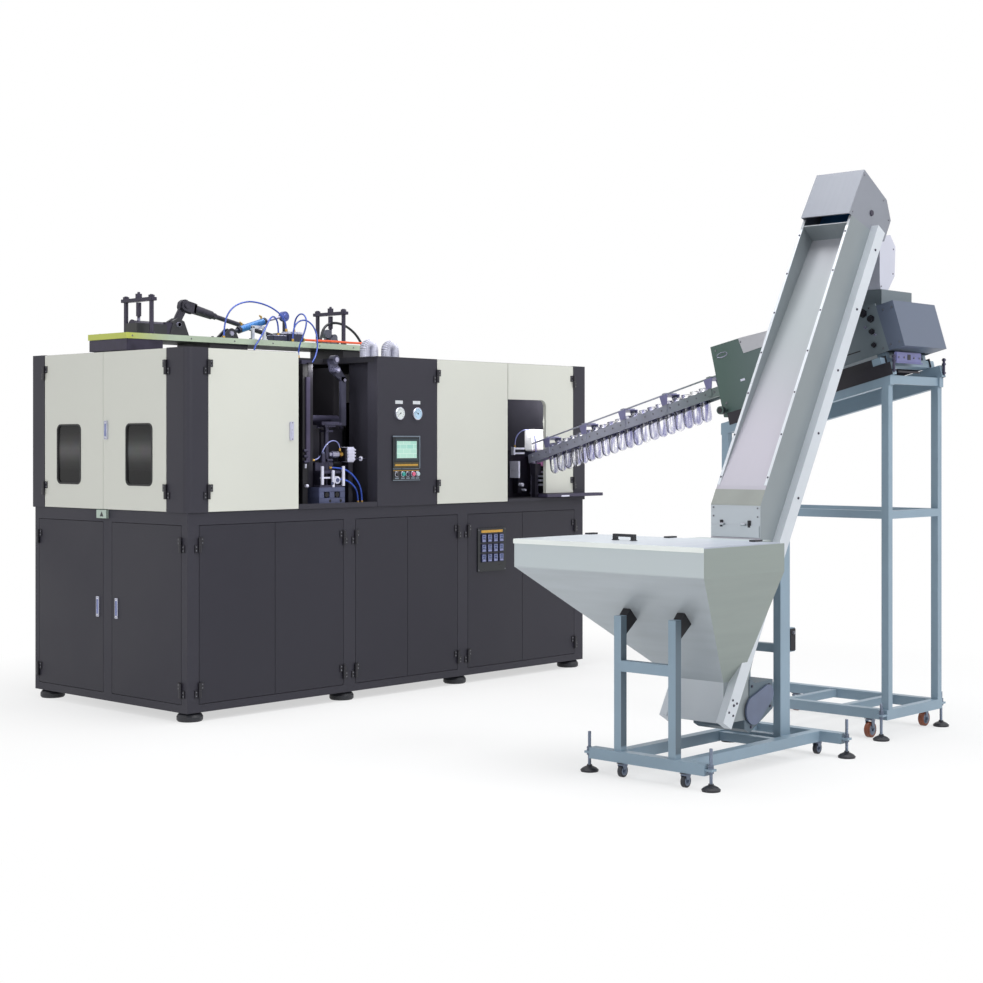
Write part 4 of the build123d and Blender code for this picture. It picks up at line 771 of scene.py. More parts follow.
Piece(
    ((912, 92, 1376), (912, 92, 1352), 7, 16, 5), ((930, 92, 1250), (912, 92, 1250), 9, 16),
    ((1346, 100, 1404), (1352, 100, 1404), 14, 20), (1004, 1076, 62, 74, 1290, 1300, 1)
).place("bay_bright_fittings", part_white)

# OVEN BANK
# The preform heating oven behind the right doors: a dark sheet case with four
# lamp slots, each with quartz lamps across it.
dress(finish("oven_sheet", (50, 48, 60), 0.45, 0.3, 0.12, 4), "oven_bank")
lamp_zs = [1260 + row * 120 + offset for row in range(4) for offset in (22, 48)]
Piece(*(((1996, 462, z), (2704, 462, z), 6, 12) for z in lamp_zs)).place(
    "quartz_lamps", finish("quartz", (205, 205, 214), 0.15, 0, 0.1))

# INFEED UNIT
# Takes preforms off the rail in the cut-out: a dark base with a white drive
# cover, a pink sensor block over a finned heat sink, a bright round column and
# a tray of black sheet that runs out past the cabinet.
infeed_dark = finish("infeed_black", (32, 30, 42), 0.4, 0.2, 0.2, 8)
Piece(
    (2760, 3140, 200, 360, 1140, 1450, 2), (3087, 3127, 120, 200, 1264, 1432, 2),
    (2990, 3060, 120, 200, 1140, 1330), (2866, 2890, 60, 90, 1140, 1290), (2800, 2850, 150, 200, 1170, 1300, 3),
    (2950, 3080, 190, 200, 1200, 1590, 1)
).place("infeed_base", infeed_dark, stands_for="infeed_unit")
Piece((2910, 3070, 120, 200, 1445, 1588, 9)).place(
    "infeed_cover", finish("cover_white", (250, 250, 252), 0.35, 0, 0.02, 6))
Piece((2920, 3060, 124, 200, 1405, 1446, 3)).place("infeed_neck", mould_steel)
Piece((2970, 3080, 60, 200, 1345, 1405, 4)).place(
    "sensor_block", finish("sensor_pink", (206, 130, 182), 0.4, 0, 0.1, 20))
Piece(*((2976, 3074, 110, 200, z, z + 14, 2) for z in range(1215, 1300, 28))).place(
    "heat_sink_fins", part_white)
Piece(*(((2935, 130, z0), (2935, 130, z1), r, 40) for z0, z1, r in (
    (1140, 1385, 26), (1300, 1330, 30), (1160, 1175, 32)))).place("bright_column", ground_steel)
Piece(
    (2788, 2896, 180, 200, 1425, 1436, 1), (2788, 2896, 180, 200, 1455, 1468, 1),
    (2784, 2800, 176, 200, 1420, 1472, 1), (2770, 2786, 120, 200, 1269, 1380, 2),
    ((2812, 150, 1225), (2812, 120, 1225), 12, 24), ((2840, 150, 1190), (2840, 120, 1190), 7, 16)
).place("infeed_clamps", part_white)
Piece((2850, 2908, 45, 95, 1290, 1364, 2)).place("rail_saddle", infeed_dark)
Piece(
    (2850, 3420, -60, 0, 1145, 1166, 2), (2900, 3178, 0, 110, 1145, 1166, 2), (2900, 3178, 40, 110, 1140, 1145)
).place("infeed_tray", finish("tray_black", (66, 62, 84), 0.4, 0.2, 0.12, 8))
Piece((2990, 3070, -61, -59.6, 1146, 1156, 0.3)).place("tray_edge_strip", part_white)
Piece((3140, 3176, 20, 100, 1166, 1290, 4)).place("rail_stop", part_white)
lamp("infeed_lamp", (2950, 260, 1900), (3290, 650, 1650), 0.1, 7)
lamp("cover_lamp", (2880, 75, 1700), (2985, 150, 1500), 0.1, 0.32, 56)
lamp("bay_lamp", (1060, 60, 1960), (1160, 160, 1300), 0.1, 1.6)

# ROOF PLATE
# A thick machined aluminium plate, chromated pale green with a yellow end, on
# blackened blocks, with the blackened cheeks that carry the crank.
plate_finish = finish("chromated_plate", (194, 210, 186), 0.35, 0.15, 0.08, 5)
roof_top = 2110


def graded(paint, tone, *ramps):
    """Runs a finish's colour into a tone where every given place, or tilt, along an axis says so."""
    tree = paint.node_tree
    coloured = tree.nodes["Principled BSDF"].inputs["Base Color"]
    place = node(tree, "TexCoord").outputs
    share = 1
    for kind, axis, low, high in ramps:
        parts = node(tree, "SeparateXYZ", {0: place[kind]}).outputs
        share = node(tree, "MapRange",
                     {"Value": parts[axis], "From Min": low, "From Max": high, "To Max": share})
    tree.links.new(colour_mix(tree, share, coloured.links[0].from_socket, shade(tone)), coloured)


graded(plate_finish, (190, 198, 92), ("Object", "X", corner.x + 0.30, corner.x + 0.02))
for edge, step in ((2.1102, 0.0002), (2.0768, -0.0002)):
    graded(plate_finish, (44, 44, 50), ("Object", "Z", edge, edge + step))
dress(plate_finish, "top_plate")
screws("roof_plate_bolts", [((x, y, roof_top), (0, 0, 1)) for y in (575, 885)
                            for x in (60, 330, 620, 900, 1140, 1440, 1600, 1820)], 9, 7, hinge_black, sides=6)
screws("roof_plate_edge_bolts",
       [((x, 545, 2093), (0, -1, 0)) for x in (40, 445, 760, 1050, 1420, 1700, 1835)], 5, 2)

# TIE GATES
# Two gates of turned posts under a cross bar, with nuts on their ends and a
# threaded lifting screw in a knurled collar between them.
gate_black = finish("gate_black", (52, 48, 66), 0.38, 0.35, 0.18, 20)
gate_y = 772.5
gates = Piece()
for x in (245, 1712):
    gates.block(x - 20, x + 20, 625, 920, 2305, 2325, 2)
    for y, turned in ((650, 0), (895, 0), (gate_y, 1)):
        gates.add(*(((x, y, z0), (x, y, z1), *rest) for z0, z1, *rest in ((
            (roof_top, 2331, 13, 24), (roof_top, 2128, 19, 6), (2325, 2338, 18, 6), (2338, 2342, 12, 16, 9)), (
            (2180, 2300, 9, 24), (2222, 2300, 15, 24), (2325, 2350, 19, 12), (2350, 2361, 9, 16, 7)))[turned]))
gates.place("tie_gates_turned", gate_black, stands_for="tie_gates")
Piece(*(((x, gate_y, z), (x, gate_y, z + 2.2), 10.4, 20, 9) for x in (245, 1712)
        for z in (2182 + k * 4.4 for k in range(9)))).place("lifting_threads", ground_steel)
Piece((6, 250, 548, 912, 2012, 2076.5, 2)).place("plate_left_block", gate_black)
Piece(
    ((1712, 735, 2142), (1712, 806, 2142), 30, 32), ((1672, 748, 2187), (1672, 792, 2187), 27, 32),
    ((1731, 752, 2164), (1731, 790, 2164), 23, 32), (1650, 1760, 745, 795, roof_top, 2142, 3)
).place("roof_rollers", finish("roller_grey", (96, 98, 114), 0.35, 0.4, 0.15, 20))
Piece(
    ((205, 770, 2166), (400, 770, 2166), 31, 32), ((196, 770, 2166), (206, 770, 2166), 36, 32, 33),
    (400, 470, 738, 802, 2112, 2196, 6)
).place("crank_drive", gate_black)
Piece(*(((x, y + 6, z), (x, y - 6, z), 17, 24, 13) for x, y, z in ((498, 731, 2185), (828, 658, 2146)))).place(
    "pivot_hubs", ground_steel)

# BELL CRANK AND PUSH ROD
# Flame-cut steel lever with a round eye, and a rod with a forked end that
# reaches down to the clamp's slide; both blackened.
crank_black = finish("crank_black", (52, 50, 62), 0.4, 0.3, 0.2, 16)
pivot, top = Vector((498, 760, 2185)), Vector((563, 760, 2299))
out_side = (top - pivot).normalized().cross(Vector((0, 1, 0))) * 24
Piece().prism([pivot + out_side, top + out_side, top - out_side, pivot - out_side], (0, 20, 0), 2).add(
    ((563, 756, 2299), (563, 784, 2299), 38, 40), ((563, 738, 2299), (563, 802, 2299), 12, 24),
    ((498, 725, 2185), (498, 815, 2185), 12, 24), ((498, 757, 2185), (498, 783, 2185), 32, 32)
).place("bell_crank_lever", crank_black, "bell_crank", stands_for="bell_crank")
Piece(((563, 733, 2299), (563, 739, 2299), 15, 24, 17)).place("crank_pin_head", crank_black, "bell_crank")
crank_pin, foot = Vector((563, 770, 2299)), Vector((1254, 770, 2149))
push_way = (foot - crank_pin).normalized()
lift_way = push_way.cross(Vector((0, 1, 0)))


def on_rod(y, *places):
    """Points along the push rod from its pin, and across it, all at one depth."""
    points = (crank_pin + push_way * along + lift_way * up for along, up in places)
    return [(point.x, y, point.z) for point in points]


push = Piece()
for y in (742, 784):
    push.prism(on_rod(y, (-30, 14), (-24, 24), (-10, 31), (60, 31), (74, 29), (74, -29), (60, -31), (-10, -31),
                      (-24, -24), (-30, -14)), (0, 14, 0), 1.5)
push.prism(on_rod(742, (56, 27), (74, 27), (74, -27), (56, -27)), (0, 56, 0), 1)
push.add(*((crank_pin + push_way * near, crank_pin + push_way * far, *rest) for near, far, *rest in (
    (70, 205, 29, 32, 25), (205, 217, 25, 32, 16), (214, 236, 20, 6))),
    (crank_pin + push_way * 210, foot, 14, 24),
    (1250, 1320, 745, 795, 2122, 2172, 3))
push.place("push_rod_forged", crank_black, "push_rod", stands_for="push_rod")

# AIR CYLINDER
# A blue air cylinder on two pivots over the plate, with black end caps, a
# bright rod and a round end disc on a post.
tail, nose = Vector((900, 690, 2170)), Vector((1110, 690, 2236))
reach_way = (nose - tail).normalized()
Piece((tail + reach_way * 18, nose - reach_way * 18, 21, 40)).place(
    "cylinder_barrel", finish("cylinder_blue", (50, 120, 190), 0.3, 0.2, 0.12, 20, coat=0.2), slot="air_blue",
    stands_for="air_cylinder")
Piece(
    (tail, tail + reach_way * 20, 22, 8), (nose - reach_way * 20, nose, 22, 8),
    ((835, 700, 2150), (835, 676, 2150), 20, 32), ((840, 690, 2151), (905, 690, 2172), 12, 24),
    ((1257, 690, roof_top), (1257, 690, 2245), 9, 20), ((1257, 690, roof_top), (1257, 690, 2122), 18, 6)
).place("cylinder_caps", finish("cap_black", (40, 44, 64), 0.35, 0.2, 0.15, 20))
Piece(((1257, 676, 2271), (1257, 704, 2271), 31, 40), ((1257, 671, 2271), (1257, 677, 2271), 12, 24, 18)).place(
    "cylinder_disc", finish("disc_blue", (84, 98, 168), 0.3, 0.3, 0.15, 20), slot="air_blue")
Piece(((1105, 690, 2234), (1240, 690, 2268), 8, 24), ((835, 675, 2150), (835, 670, 2150), 12, 24, 10)).place(
    "cylinder_rod", ground_steel)
ports = Piece()
for share in (0.14, 0.86):
    port = tail.lerp(nose, share)
    ports.add((port + Vector((0, 0, 16)), port + Vector((-4, 0, 38)), 6, 12),
              (port + Vector((-2, 0, 30)), port + Vector((-16, 0, 40)), 5, 12))
ports.place("cylinder_ports", brass)

# VALVES, ARCH AND PIPE
# A bank of solenoid valves, a bright arch of bent bar, and a rigid orange
# air pipe along the plate's front edge into a brass elbow.
Piece((1190, 1310, 565, 650, roof_top, 2158, 3), (1080, 1190, 575, 645, roof_top, 2143, 3)).place(
    "valve_bodies", finish("valve_slate", (54, 56, 78), 0.35, 0.3, 0.15, 20), stands_for="valve_block")
Piece(
    *((1194 + k * 23, 1213 + k * 23, 570, 640, 2157, 2172, 1.5) for k in range(5)),
    *((1084 + k * 26, 1104 + k * 26, 578, 642, 2143, 2147, 1) for k in range(4))
).place("valve_coils", part_white)
Piece(
    (915, 933, 572, 590, roof_top, 2190, 2), (1002, 1020, 572, 590, roof_top, 2190, 2),
    (915, 1020, 572, 590, 2177, 2195, 3), (906, 942, 566, 596, roof_top, 2116, 1),
    (993, 1029, 566, 596, roof_top, 2116, 1)
).place("bright_arch", finish("arch_bright", (206, 210, 220), 0.25, 0.5, 0.06, 20))
Piece().tube(
    [(1310, 575, 2126), (1400, 575, 2126), (1560, 574, 2127), (1700, 576, 2125), (1822, 575, 2126)], 7
).place(
    "orange_pipe", finish("pipe_orange", (240, 92, 48), 0.3, 0, 0.08, 20, coat=0.3))
Piece(
    ((1822, 576, 2124), (1850, 576, 2124), 11, 6), ((1836, 576, roof_top), (1836, 576, 2138), 10, 24),
    ((1310, 575, 2126), (1322, 575, 2126), 11, 6)
).place("brass_elbow", brass)

# SPIRAL DUCT
# Two arches of clear ribbed hose out of the roof: a thin skin over a wire
# spiral, held by a clip at each foot.
skin_clear, tree, shader = bare_material("duct_skin")
murk = node(tree, "TexNoise", {"Vector": node(tree, "TexCoord").outputs["Object"], "Scale": 26})
thin = node(tree, "MapRange", {"Value": murk, "To Min": 0.25, "To Max": 0.5})
feed(tree, shader, {"Alpha": thin, "Base Color": shade((222, 224, 238)), "Roughness": 0.15})


def wire_ring(tree, take):
    """A closed ring of round wire."""
    circle = "GeometryNodeCurvePrimitiveCircle"
    return node(tree, "GeometryNodeCurveToMesh", {
        "Curve": node(tree, circle, {"Radius": take["Ring Radius"], "Resolution": 24}),
        "Profile Curve": node(tree, circle, {"Radius": take["Wire Radius"], "Resolution": 5})})


skin, clips, ring_spots = Piece(), Piece(), []
for x in (1604, 1782):
    route = [(x - 36, 300, 2010 + 11 * step) for step in range(5)]
    route += [(x - 36 * math.cos(turn), 300, 2065 + 36 * math.sin(turn))
              for turn in (math.pi * step / 12 for step in range(13))]
    route += [(x + 36, 300, 2054 - 11 * step) for step in range(5)]
    skin.tube(route, 28, 28)
    for index, place in enumerate(route):
        before, after = route[max(index - 1, 0)], route[min(index + 1, len(route) - 1)]
        facing = Vector(after) - Vector(before)
        ring_spots.append((place, facing))
        if index and index < len(route) - 1:
            ring_spots.append(((Vector(place) + Vector(before)) / 2, facing))
    clips.add(*(((foot_x, 300, 2010), (foot_x, 300, 2020), 32, 32) for foot_x in (x - 36, x + 36)))
skin.place("duct_skin", skin_clear, slot="duct", stands_for="spiral_duct")
wire_rings = growing_tree("wire_rings", (("Ring Radius", "Float"), ("Wire Radius", "Float")), wire_ring)
rib_white = finish("rib_white", (222, 223, 238), 0.35, 0.1, 0.1, 30)
grown("duct_rings", ring_spots, wire_rings, {"Ring Radius": 0.0285, "Wire Radius": 0.0026, "Finish": rib_white})
clips.place("duct_clips", edge_grey)

# FEED RAIL
# Two aluminium bars on edge with a slot between them, a guide rod above, and
# bent brackets across, all screwed together.
rail_grey = finish("rail_anodised", (158, 160, 178), 0.35, 0.3, 0.12, 8)
graded(rail_grey, (116, 134, 124), ("Object", "Y", corner.y - 1.2, corner.y - 1.9))
dress(rail_grey, "preform_rail")
rail_high, rail_low = Vector((2347, -1950, 1853)), Vector((2882, 95, 1420))
rail_run = (rail_low - rail_high).normalized()
rail_side = Vector((0, 0, 1)).cross(rail_run).normalized()
rail_up = rail_run.cross(rail_side)
preform_pitch = 82


def on_rail(u, v, w):
    """A point along, across and above the rail from its high end."""
    return rail_high + rail_run * u + rail_side * v + rail_up * w


screws("rail_screws", [(on_rail(60 + k * preform_pitch, 39 * sign, -24), rail_side * sign)
                       for k in range(26) for sign in (-1, 1)], 6, 3)
brackets = Piece()
for u in range(245, 1902, 414):
    for v0, v1 in ((-47, -43.8), (43.8, 47)):
        brackets.prism([on_rail(u + du, v0, w) for du, w in ((-8, 2), (38, 2), (52, 56), (-22, 56))],
                       rail_side * (v1 - v0))
    brackets.prism([on_rail(u + du, v, 56) for du, v in ((-22, -47), (52, -47), (52, 47), (-22, 47))],
                   rail_up * 3.4)
brackets.place("rail_brackets", finish("bracket_lilac", (132, 130, 172), 0.35, 0.3, 0.12, 14))

# PREFORMS
# Twenty clear PET preforms that hang in the slot by their neck rings: a
# threaded neck above the ring, and a test-tube body with a round tip below it.
clear, tree, shader = bare_material("clear_pet_painted_reflection")
# The colour runs in long vertical streaks between white and lilac: painted reflection streaks in the clear PET.
drawn = node(tree, "Mapping", {"Vector": node(tree, "TexCoord").outputs["Object"], "Scale": (1, 1, 0.08)})
streak_noise = node(tree, "TexNoise", {"Vector": drawn, "Scale": 45})
painted_reflection_streaks = node(tree, "MapRange", {"Value": streak_noise, "From Min": 0.46, "From Max": 0.58})
feed(tree, shader, {"Base Color": colour_mix(tree, painted_reflection_streaks, shade((255, 255, 255)), shade((176, 176, 206))),
                    "Transmission Weight": 1.0, "Roughness": 0.04, "IOR": 1.5})


def tip(radius, *angles):
    """Points round a preform's tip."""
    return [(radius * math.cos(math.radians(a)), -140 - radius * math.sin(math.radians(a))) for a in angles]


outline = [(20, 28), (26, 28), (26, 26), (23.5, 25.5), (26, 22), (23.5, 19), (26, 15), (23.5, 12), (25, 9),
           (25, 5), (38.5, 5), (38.5, 0), (29.5, -1), (29.5, -140), *tip(29.5, 20, 40, 60, 78), (0, -169.5),
           (0, -164.5), *tip(24.5, 75, 50, 25), (24.5, -140), (24.5, -20), (20, -4)]
turned = bmesh.new()
rings = [[turned.verts.new((r * across / 1000, r * up / 1000, z / 1000)) for r, z in outline]
         for across, up in ring(1, 24)]
for one, other in zip(rings, rings[1:] + rings[:1]):
    for k in range(len(one)):
        turned.faces.new((one[k], other[k], other[(k + 1) % len(one)], one[(k + 1) % len(one)]))
bmesh.ops.remove_doubles(turned, verts=turned.verts[:], dist=0.00001)
bmesh.ops.recalc_face_normals(turned, faces=turned.faces[:])
one_preform = bpy.data.meshes.new("one_preform")
turned.to_mesh(one_preform)
turned.free()
pattern = stood("one_preform", one_preform)
hanging_row = growing_tree("hanging_row", (("Hanging", "Object"),), lambda tree, take: node(
    tree, "GeometryNodeObjectInfo", {"Object": take["Hanging"]}).outputs["Geometry"])
grown("hung_preforms", [(on_rail(365 + k * preform_pitch, 0, 0), rail_up) for k in range(20)], hanging_row,
      {"Hanging": pattern, "Finish": clear}, stands_for="preforms")
bpy.data.objects.remove(pattern)

# SORTER
# A sloping box of grey-green sheet with a pale cover: two rollers turn inside
# it. On its side are a hatch's seam, an oval grip, glands and a black knob.
sorter_green = finish("sorter_coat", (110, 121, 128), 0.42, 0, 0.07, 3)
graded(sorter_green, (76, 98, 92), ("Object", "Y", corner.y - 2.55, corner.y - 1.95))
dress(sorter_green, "sorter_body")
dress(finish("motor_cover_coat", (89, 99, 118), 0.4, 0, 0.05, 3), "sorter_motor_box")
roller_steel = finish("roller_steel", (150, 154, 160), 0.25, 0.7, 0.1, 8)
dress(roller_steel, "sorter_roller_left", "sorter_roller_right")
slope = math.radians(14)
sorter_along = Vector((0, -math.cos(slope), math.sin(slope)))
sorter_up = Vector((0, math.sin(slope), math.cos(slope)))


def on_sorter(u, v, w):
    """A point along, across and above the sorter's slope."""
    return Vector((2365, -1940, 1688)) + sorter_along * u + Vector((1, 0, 0)) * v + sorter_up * w


def side_plates(*plates):
    """A piece of plates on the sorter's side: outline, and where across the sorter each starts and ends."""
    piece = Piece()
    for outline, v0, v1 in plates:
        piece.prism([on_sorter(u, v0, w) for u, w in outline], (v1 - v0, 0, 0))
    return piece


cheek = ((188, 341), (620, 308), (620, 252), (204, 252))
pale_cover = Piece().prism(
    [on_sorter(u, v, 318.2) for u, v in ((188, -208), (620, -208), (620, 208), (188, 208))], sorter_up * 1.6)
for v in (-216.8, 215.2):
    pale_cover.prism([on_sorter(u, v, w) for u, w in cheek], (1.6, 0, 0))
pale_cover.place("sorter_cover", finish("cover_pale", (190, 190, 196), 0.4, 0, 0.05), slot="grey_green_paint")
side_plates((((640, 60), (900, 60), (900, 66), (640, 66)), -216, -214.6),
            (((640, 60), (646, 60), (646, 150), (640, 150)), -216, -214.6),
            (((330, 36), (336, 36), (336, 300), (330, 300)), -215.8, -214.6)
            ).place("sorter_seams", hinge_black, slot="grey_green_paint")
loop = [on_sorter(66 + 34 * across, -216.4, 282 + 13 * up) for across, up in ring(1, 24)]
Piece().tube(loop + loop[:1], 1.8, 8).tube(
    [on_sorter(u, -216.2, w) for u, w in ((36, 274), (66, 270), (96, 274))], 1.6, 8
).place("sorter_grip", ground_steel)
side_plates((((150, 108), (178, 108), (178, 120), (150, 120)), -216.4, -214.8)).place(
    "sorter_plate", part_white, slot="grey_green_paint")
Piece(*((on_sorter(20, v0, -20), on_sorter(20, v1, -20), *rest) for v0, v1, *rest in (
    (-214, -250, 6.4, 20), (-244, -252, 14, 32, 22.4), (-252, -270, 22.6, 32), (-270, -277.2, 22.6, 32, 16)))
      ).place("sorter_knob", hinge_black, slot="grey_green_paint")


def side_bars(*bars):
    """A piece of bars that stand on the sorter's side: place, reach, radius and sides."""
    return Piece(*((on_sorter(u, -214.5, w), on_sorter(u, v, w), r, sides) for u, w, v, r, sides in bars))


glands = ((962, 245, 17), (1000, 205, 14), (990, 140, 10), (985, 70, 8))
side_bars(*(bar for u, w, r in glands for bar in ((u, w, -236, r, 24), (u, w, -222, r + 6, 6)))).place(
    "sorter_glands", hinge_black, slot="grey_green_paint")
side_bars((958, 172, -226, 7, 6), (1004, 120, -226, 6, 6)).place("sorter_nuts", ground_steel)
screws("sorter_screws", [(on_sorter(u, -215, w), (-1, 0, 0)) for u, w in (
    (30, 20), (30, 316), (200, 316), (560, 290), (1000, 262), (700, 32), (420, 32), (1030, 40), (880, 275))],
    6, 3)
screws("motor_cover_screws",
       [(on_sorter(u, -215, w), (-1, 0, 0)) for u in (1076, 1126) for w in (48, 230)], 5, 2.5)

# SORTER STAND
# Welded square tube in blue-grey paint, with dark side strips on the stand
# under the sorter and a band of painted shadow just under each side of the
# sorter's body, a lilac bearer bracket at the high end and two jacking bolts.
frame_tone = (137, 158, 174)
dress(finish("frame_blue_grey", frame_tone, 0.42, 0, 0.05, 4), "sorter_stand")
# The elevator frame takes a copy of the same paint, darker on its front posts' faces turned to −Y above 140 mm:
# painted shade.
lift_blue_painted_shade = finish("lift_frame_blue_painted_shade", frame_tone, 0.42, 0, 0.05, 4)
graded(lift_blue_painted_shade, (86, 102, 114), ("Normal", "Y", -0.6, -0.85),
       ("Object", "X", corner.x + 0.6, corner.x + 0.58),
       ("Object", "Z", 0.13, 0.14))
dress(lift_blue_painted_shade, "elevator_frame")
strip_black_and_painted_shadow = finish("strip_black_and_painted_shadow", (30, 27, 36), 0.5, 0, 0.15, 6)
# The strips just under each side of the sorter stand for the shadow beneath its body: painted shadow.
side_plates(*((((58, -112), (1081, -112), (1081, -46), (58, -46)), v, v + 2) for v in (-269, 267)),
            *((((230, -48), (1040, -48), (1040, -1), (230, -1)), v, v + 2) for v in (-224, 222))
            ).place("stand_strips", strip_black_and_painted_shadow, slot="grey_green_paint")
bearer_lilac = finish("bearer_lilac", (112, 114, 160), 0.4, 0.2, 0.12, 10)
Piece((2150, 2400, -3006, -2990, 1904, 1957, 3), (2140, 2410, -3010, -2990, 1900, 1906, 1)).place(
    "stand_bearer", bearer_lilac, slot="grey_green_paint")
Piece((2258, 2290, -3007.5, -3005, 1918, 1946, 1), (2165, 2385, -3007.5, -3000, 1852, 1862, 1)).place(
    "bearer_slot", strip_black_and_painted_shadow, slot="grey_green_paint")
screws("bearer_bolts", [((x, -3006, 1930), (0, -1, 0)) for x in (2172, 2226, 2324, 2378)], 6, 4, sides=6)
Piece(*(((x, -3014, z0), (x, -3014, z1), r, sides) for x in (2110, 2622) for z0, z1, r, sides in (
    (1853, 1940, 7, 16), (1858, 1867, 12, 6), (1904, 1913, 12, 6), (1926, 1935, 12, 6)))
      ).place("jacking_bolts", mould_steel, slot="grey_green_paint")

# CONTROL BOX
# A small dark box on the elevator's rear post, with its door, a gland and a
# knob, and a black rubber mount where each front post meets the hopper.
control = Piece(
    (1396, 1404, -2888, -2832, 502, 612, 3), (1356, 1402, -2894, -2889.5, 504, 610, 2),
    ((1376, -2860, 500), (1376, -2860, 484), 9, 20))
for y in (-2920.8, -2617.8):
    control.prism([(455.4, y, 639), (455.4, y, 722), (482, y, 749), (531, y, 697)], (0, 41.6, 0))
control.place("control_box_door", deep_black, slot="grey_green_paint")
Piece(((1380, -2894, 590), (1380, -2902, 590), 10, 24, 8)).place(
    "control_box_knob", screw_steel, slot="grey_green_paint")

# CASTORS
# Swivel castors: a pressed fork under a ball race and plate, and a tyred wheel
# on a bolt. The stand's are larger, with amber tyres and a brake lever.
fork_steel = finish("fork_steel", (110, 120, 138), 0.3, 0.6, 0.12, 30)
wheels, tyres, forks, levers = Piece(), Piece(), Piece(), Piece()
for x, y, beam, r, wide, tyre in (
        *((x, y, 65, 28, 22, wheels) for x, y in ((424, -2619), (424, -2968), (1520, -2938), (1520, -2582))),
        *((x, y, 100, 40, 30, tyres) for x, y in ((2110, -2878), (2110, -2106), (2625, -2896), (2625, -2106)))):
    for sign in (-1, 1):
        tread, side, nut, bolt = (
            y + sign * out for out in (wide * 0.38, wide * 0.5, wide * 0.5 + 2, wide * 0.5 + 10))
        tyre.add(((x, y, r), (x, tread, r), r, 32), ((x, tread, r), (x, side, r), r, 32, r - 4))
        forks.add(((x, side, r), (x, nut, r), r * 0.7, 24, r * 0.62), ((x, nut, r), (x, bolt, r), 7, 6))
        forks.prism([(x + dx, y + sign * (wide * 0.5 + 3) - 1.5, z) for dx, z in (
            (-9, r - 10), (9, r - 10), (15, beam - 16), (20, beam - 9), (-20, beam - 9), (-15, beam - 16))],
            (0, 3, 0), 0.5)
    forks.add((x - 20, x + 20, y - wide / 2 - 4, y + wide / 2 + 4, beam - 12, beam - 9, 1),
              ((x, y, beam - 9), (x, y, beam - 4), 21, 28))
    wheels.block(x - 24, x + 24, y - wide / 2 - 5, y + wide / 2 + 5, beam - 4, beam, 1)
    if tyre is tyres:
        levers.prism([(x + dx, y - 12, z) for dx, z in ((-34, 52), (-12, 64), (-12, 69), (-36, 57))],
                     (0, 24, 0), 1)
wheels.place("castor_wheels", finish("tyre_dark", (40, 42, 50), 0.5, 0, 0.1, 30), slot="rubber")
tyres.place("castor_tyres", finish("tyre_amber", (132, 70, 44), 0.45, 0, 0.12, 30), slot="rubber",
            stands_for="castors")
forks.place("castor_forks", fork_steel)
levers.place("castor_levers", finish("lever_blue", (96, 116, 150), 0.4, 0, 0.1, 30))

# LEVELLING FEET
# Broad dark mounts under the cabinets, and round pads on threaded bars with
# two nuts each through the lugs of both wheeled frames.
mount = ((0, 8, 64, 48, 71), (8, 26, 71, 48), (26, 38, 71, 48, 64), (38, 50, 64, 48, 50))
pad = ((0, 8, 40, 40, 42), (8, 17, 42, 40, 32), (17, 26, 32, 40, 14), (26, 32, 12, 24))
lugs = [(x, y, 85) for x, y in ((430, -2422), (430, -3098), (1525, -3098), (1525, -2422))]
lugs += [(x, y, 120) for x in (2062, 2673) for y in (-2970, -1990)]
pads = Piece(*(((x, y, z0), (x, y, z1), *rest) for feet, rows in (
    ([(x, y) for x in (82, 1180, 2130, 3218) for y in (82, 1398)], mount), ([lug[:2] for lug in lugs], pad))
    for x, y in feet for z0, z1, *rest in rows))
studs = Piece()
turns = 56
for x, y, lug_z in lugs:
    studs.tube([(x, y, 16 + 167 * k / turns) for k in range(turns + 1)],
               [8 if k % 2 else 6.8 for k in range(turns + 1)])
    studs.add(*(((x, y, z), (x, y, z + 8), 13.5, 6) for z in (lug_z - 9, lug_z + 10, lug_z + 20)))
pads.place("foot_pads", finish("foot_dark", (34, 35, 42), 0.5, 0, 0.12, 20), slot="rubber",
           stands_for="levelling_feet")
studs.place("foot_studs", fork_steel)

# HOPPER
# Folded and welded stainless sheet with a brushed face: a deep rim band round
# sloping walls, closed by the conveyor's front.
hopper_steel_painted_light = finish("hopper_stainless_painted_light", (172, 179, 184), 0.42, 0.3, 0.06, 2.5, 500, 0.04, (1, 1, 12))
# The rim band above 925 mm is painted lighter, a painted highlight, and faces turned to −Y are painted darker,
# painted shade.
graded(hopper_steel_painted_light, (190, 199, 202), ("Object", "Z", 0.915, 0.925))
graded(hopper_steel_painted_light, (142, 151, 147), ("Normal", "Y", -0.6, -0.85))
dress(hopper_steel_painted_light, "hopper")
Piece(*(row for y in (-2839, -2682) for row in (
    (1090, 1094.6, y - 9, y + 9, 1098, 1132, 1.5), ((1094, y, 1116), (1086, y, 1116), 6, 16, 4)))
      ).place("housing_catches", hinge_black, slot="stainless")

# HOPPER LID
# A flat brushed lid over the hopper, folded down along its long front edge: three
# black hinges at its back edge and a black bow grip near the middle.
lid_steel_painted_shade = finish("lid_stainless_painted_shade", (196, 203, 210), 0.38, 0.25, 0.04, 2, 500, 0.03, (1, 12, 1))
# The lid is painted darker towards its −Y end: painted shade.
graded(lid_steel_painted_shade, (170, 177, 190), ("Object", "Y", corner.y - 2.5, corner.y - 3.1))
dress(lid_steel_painted_shade, "hopper_lid")
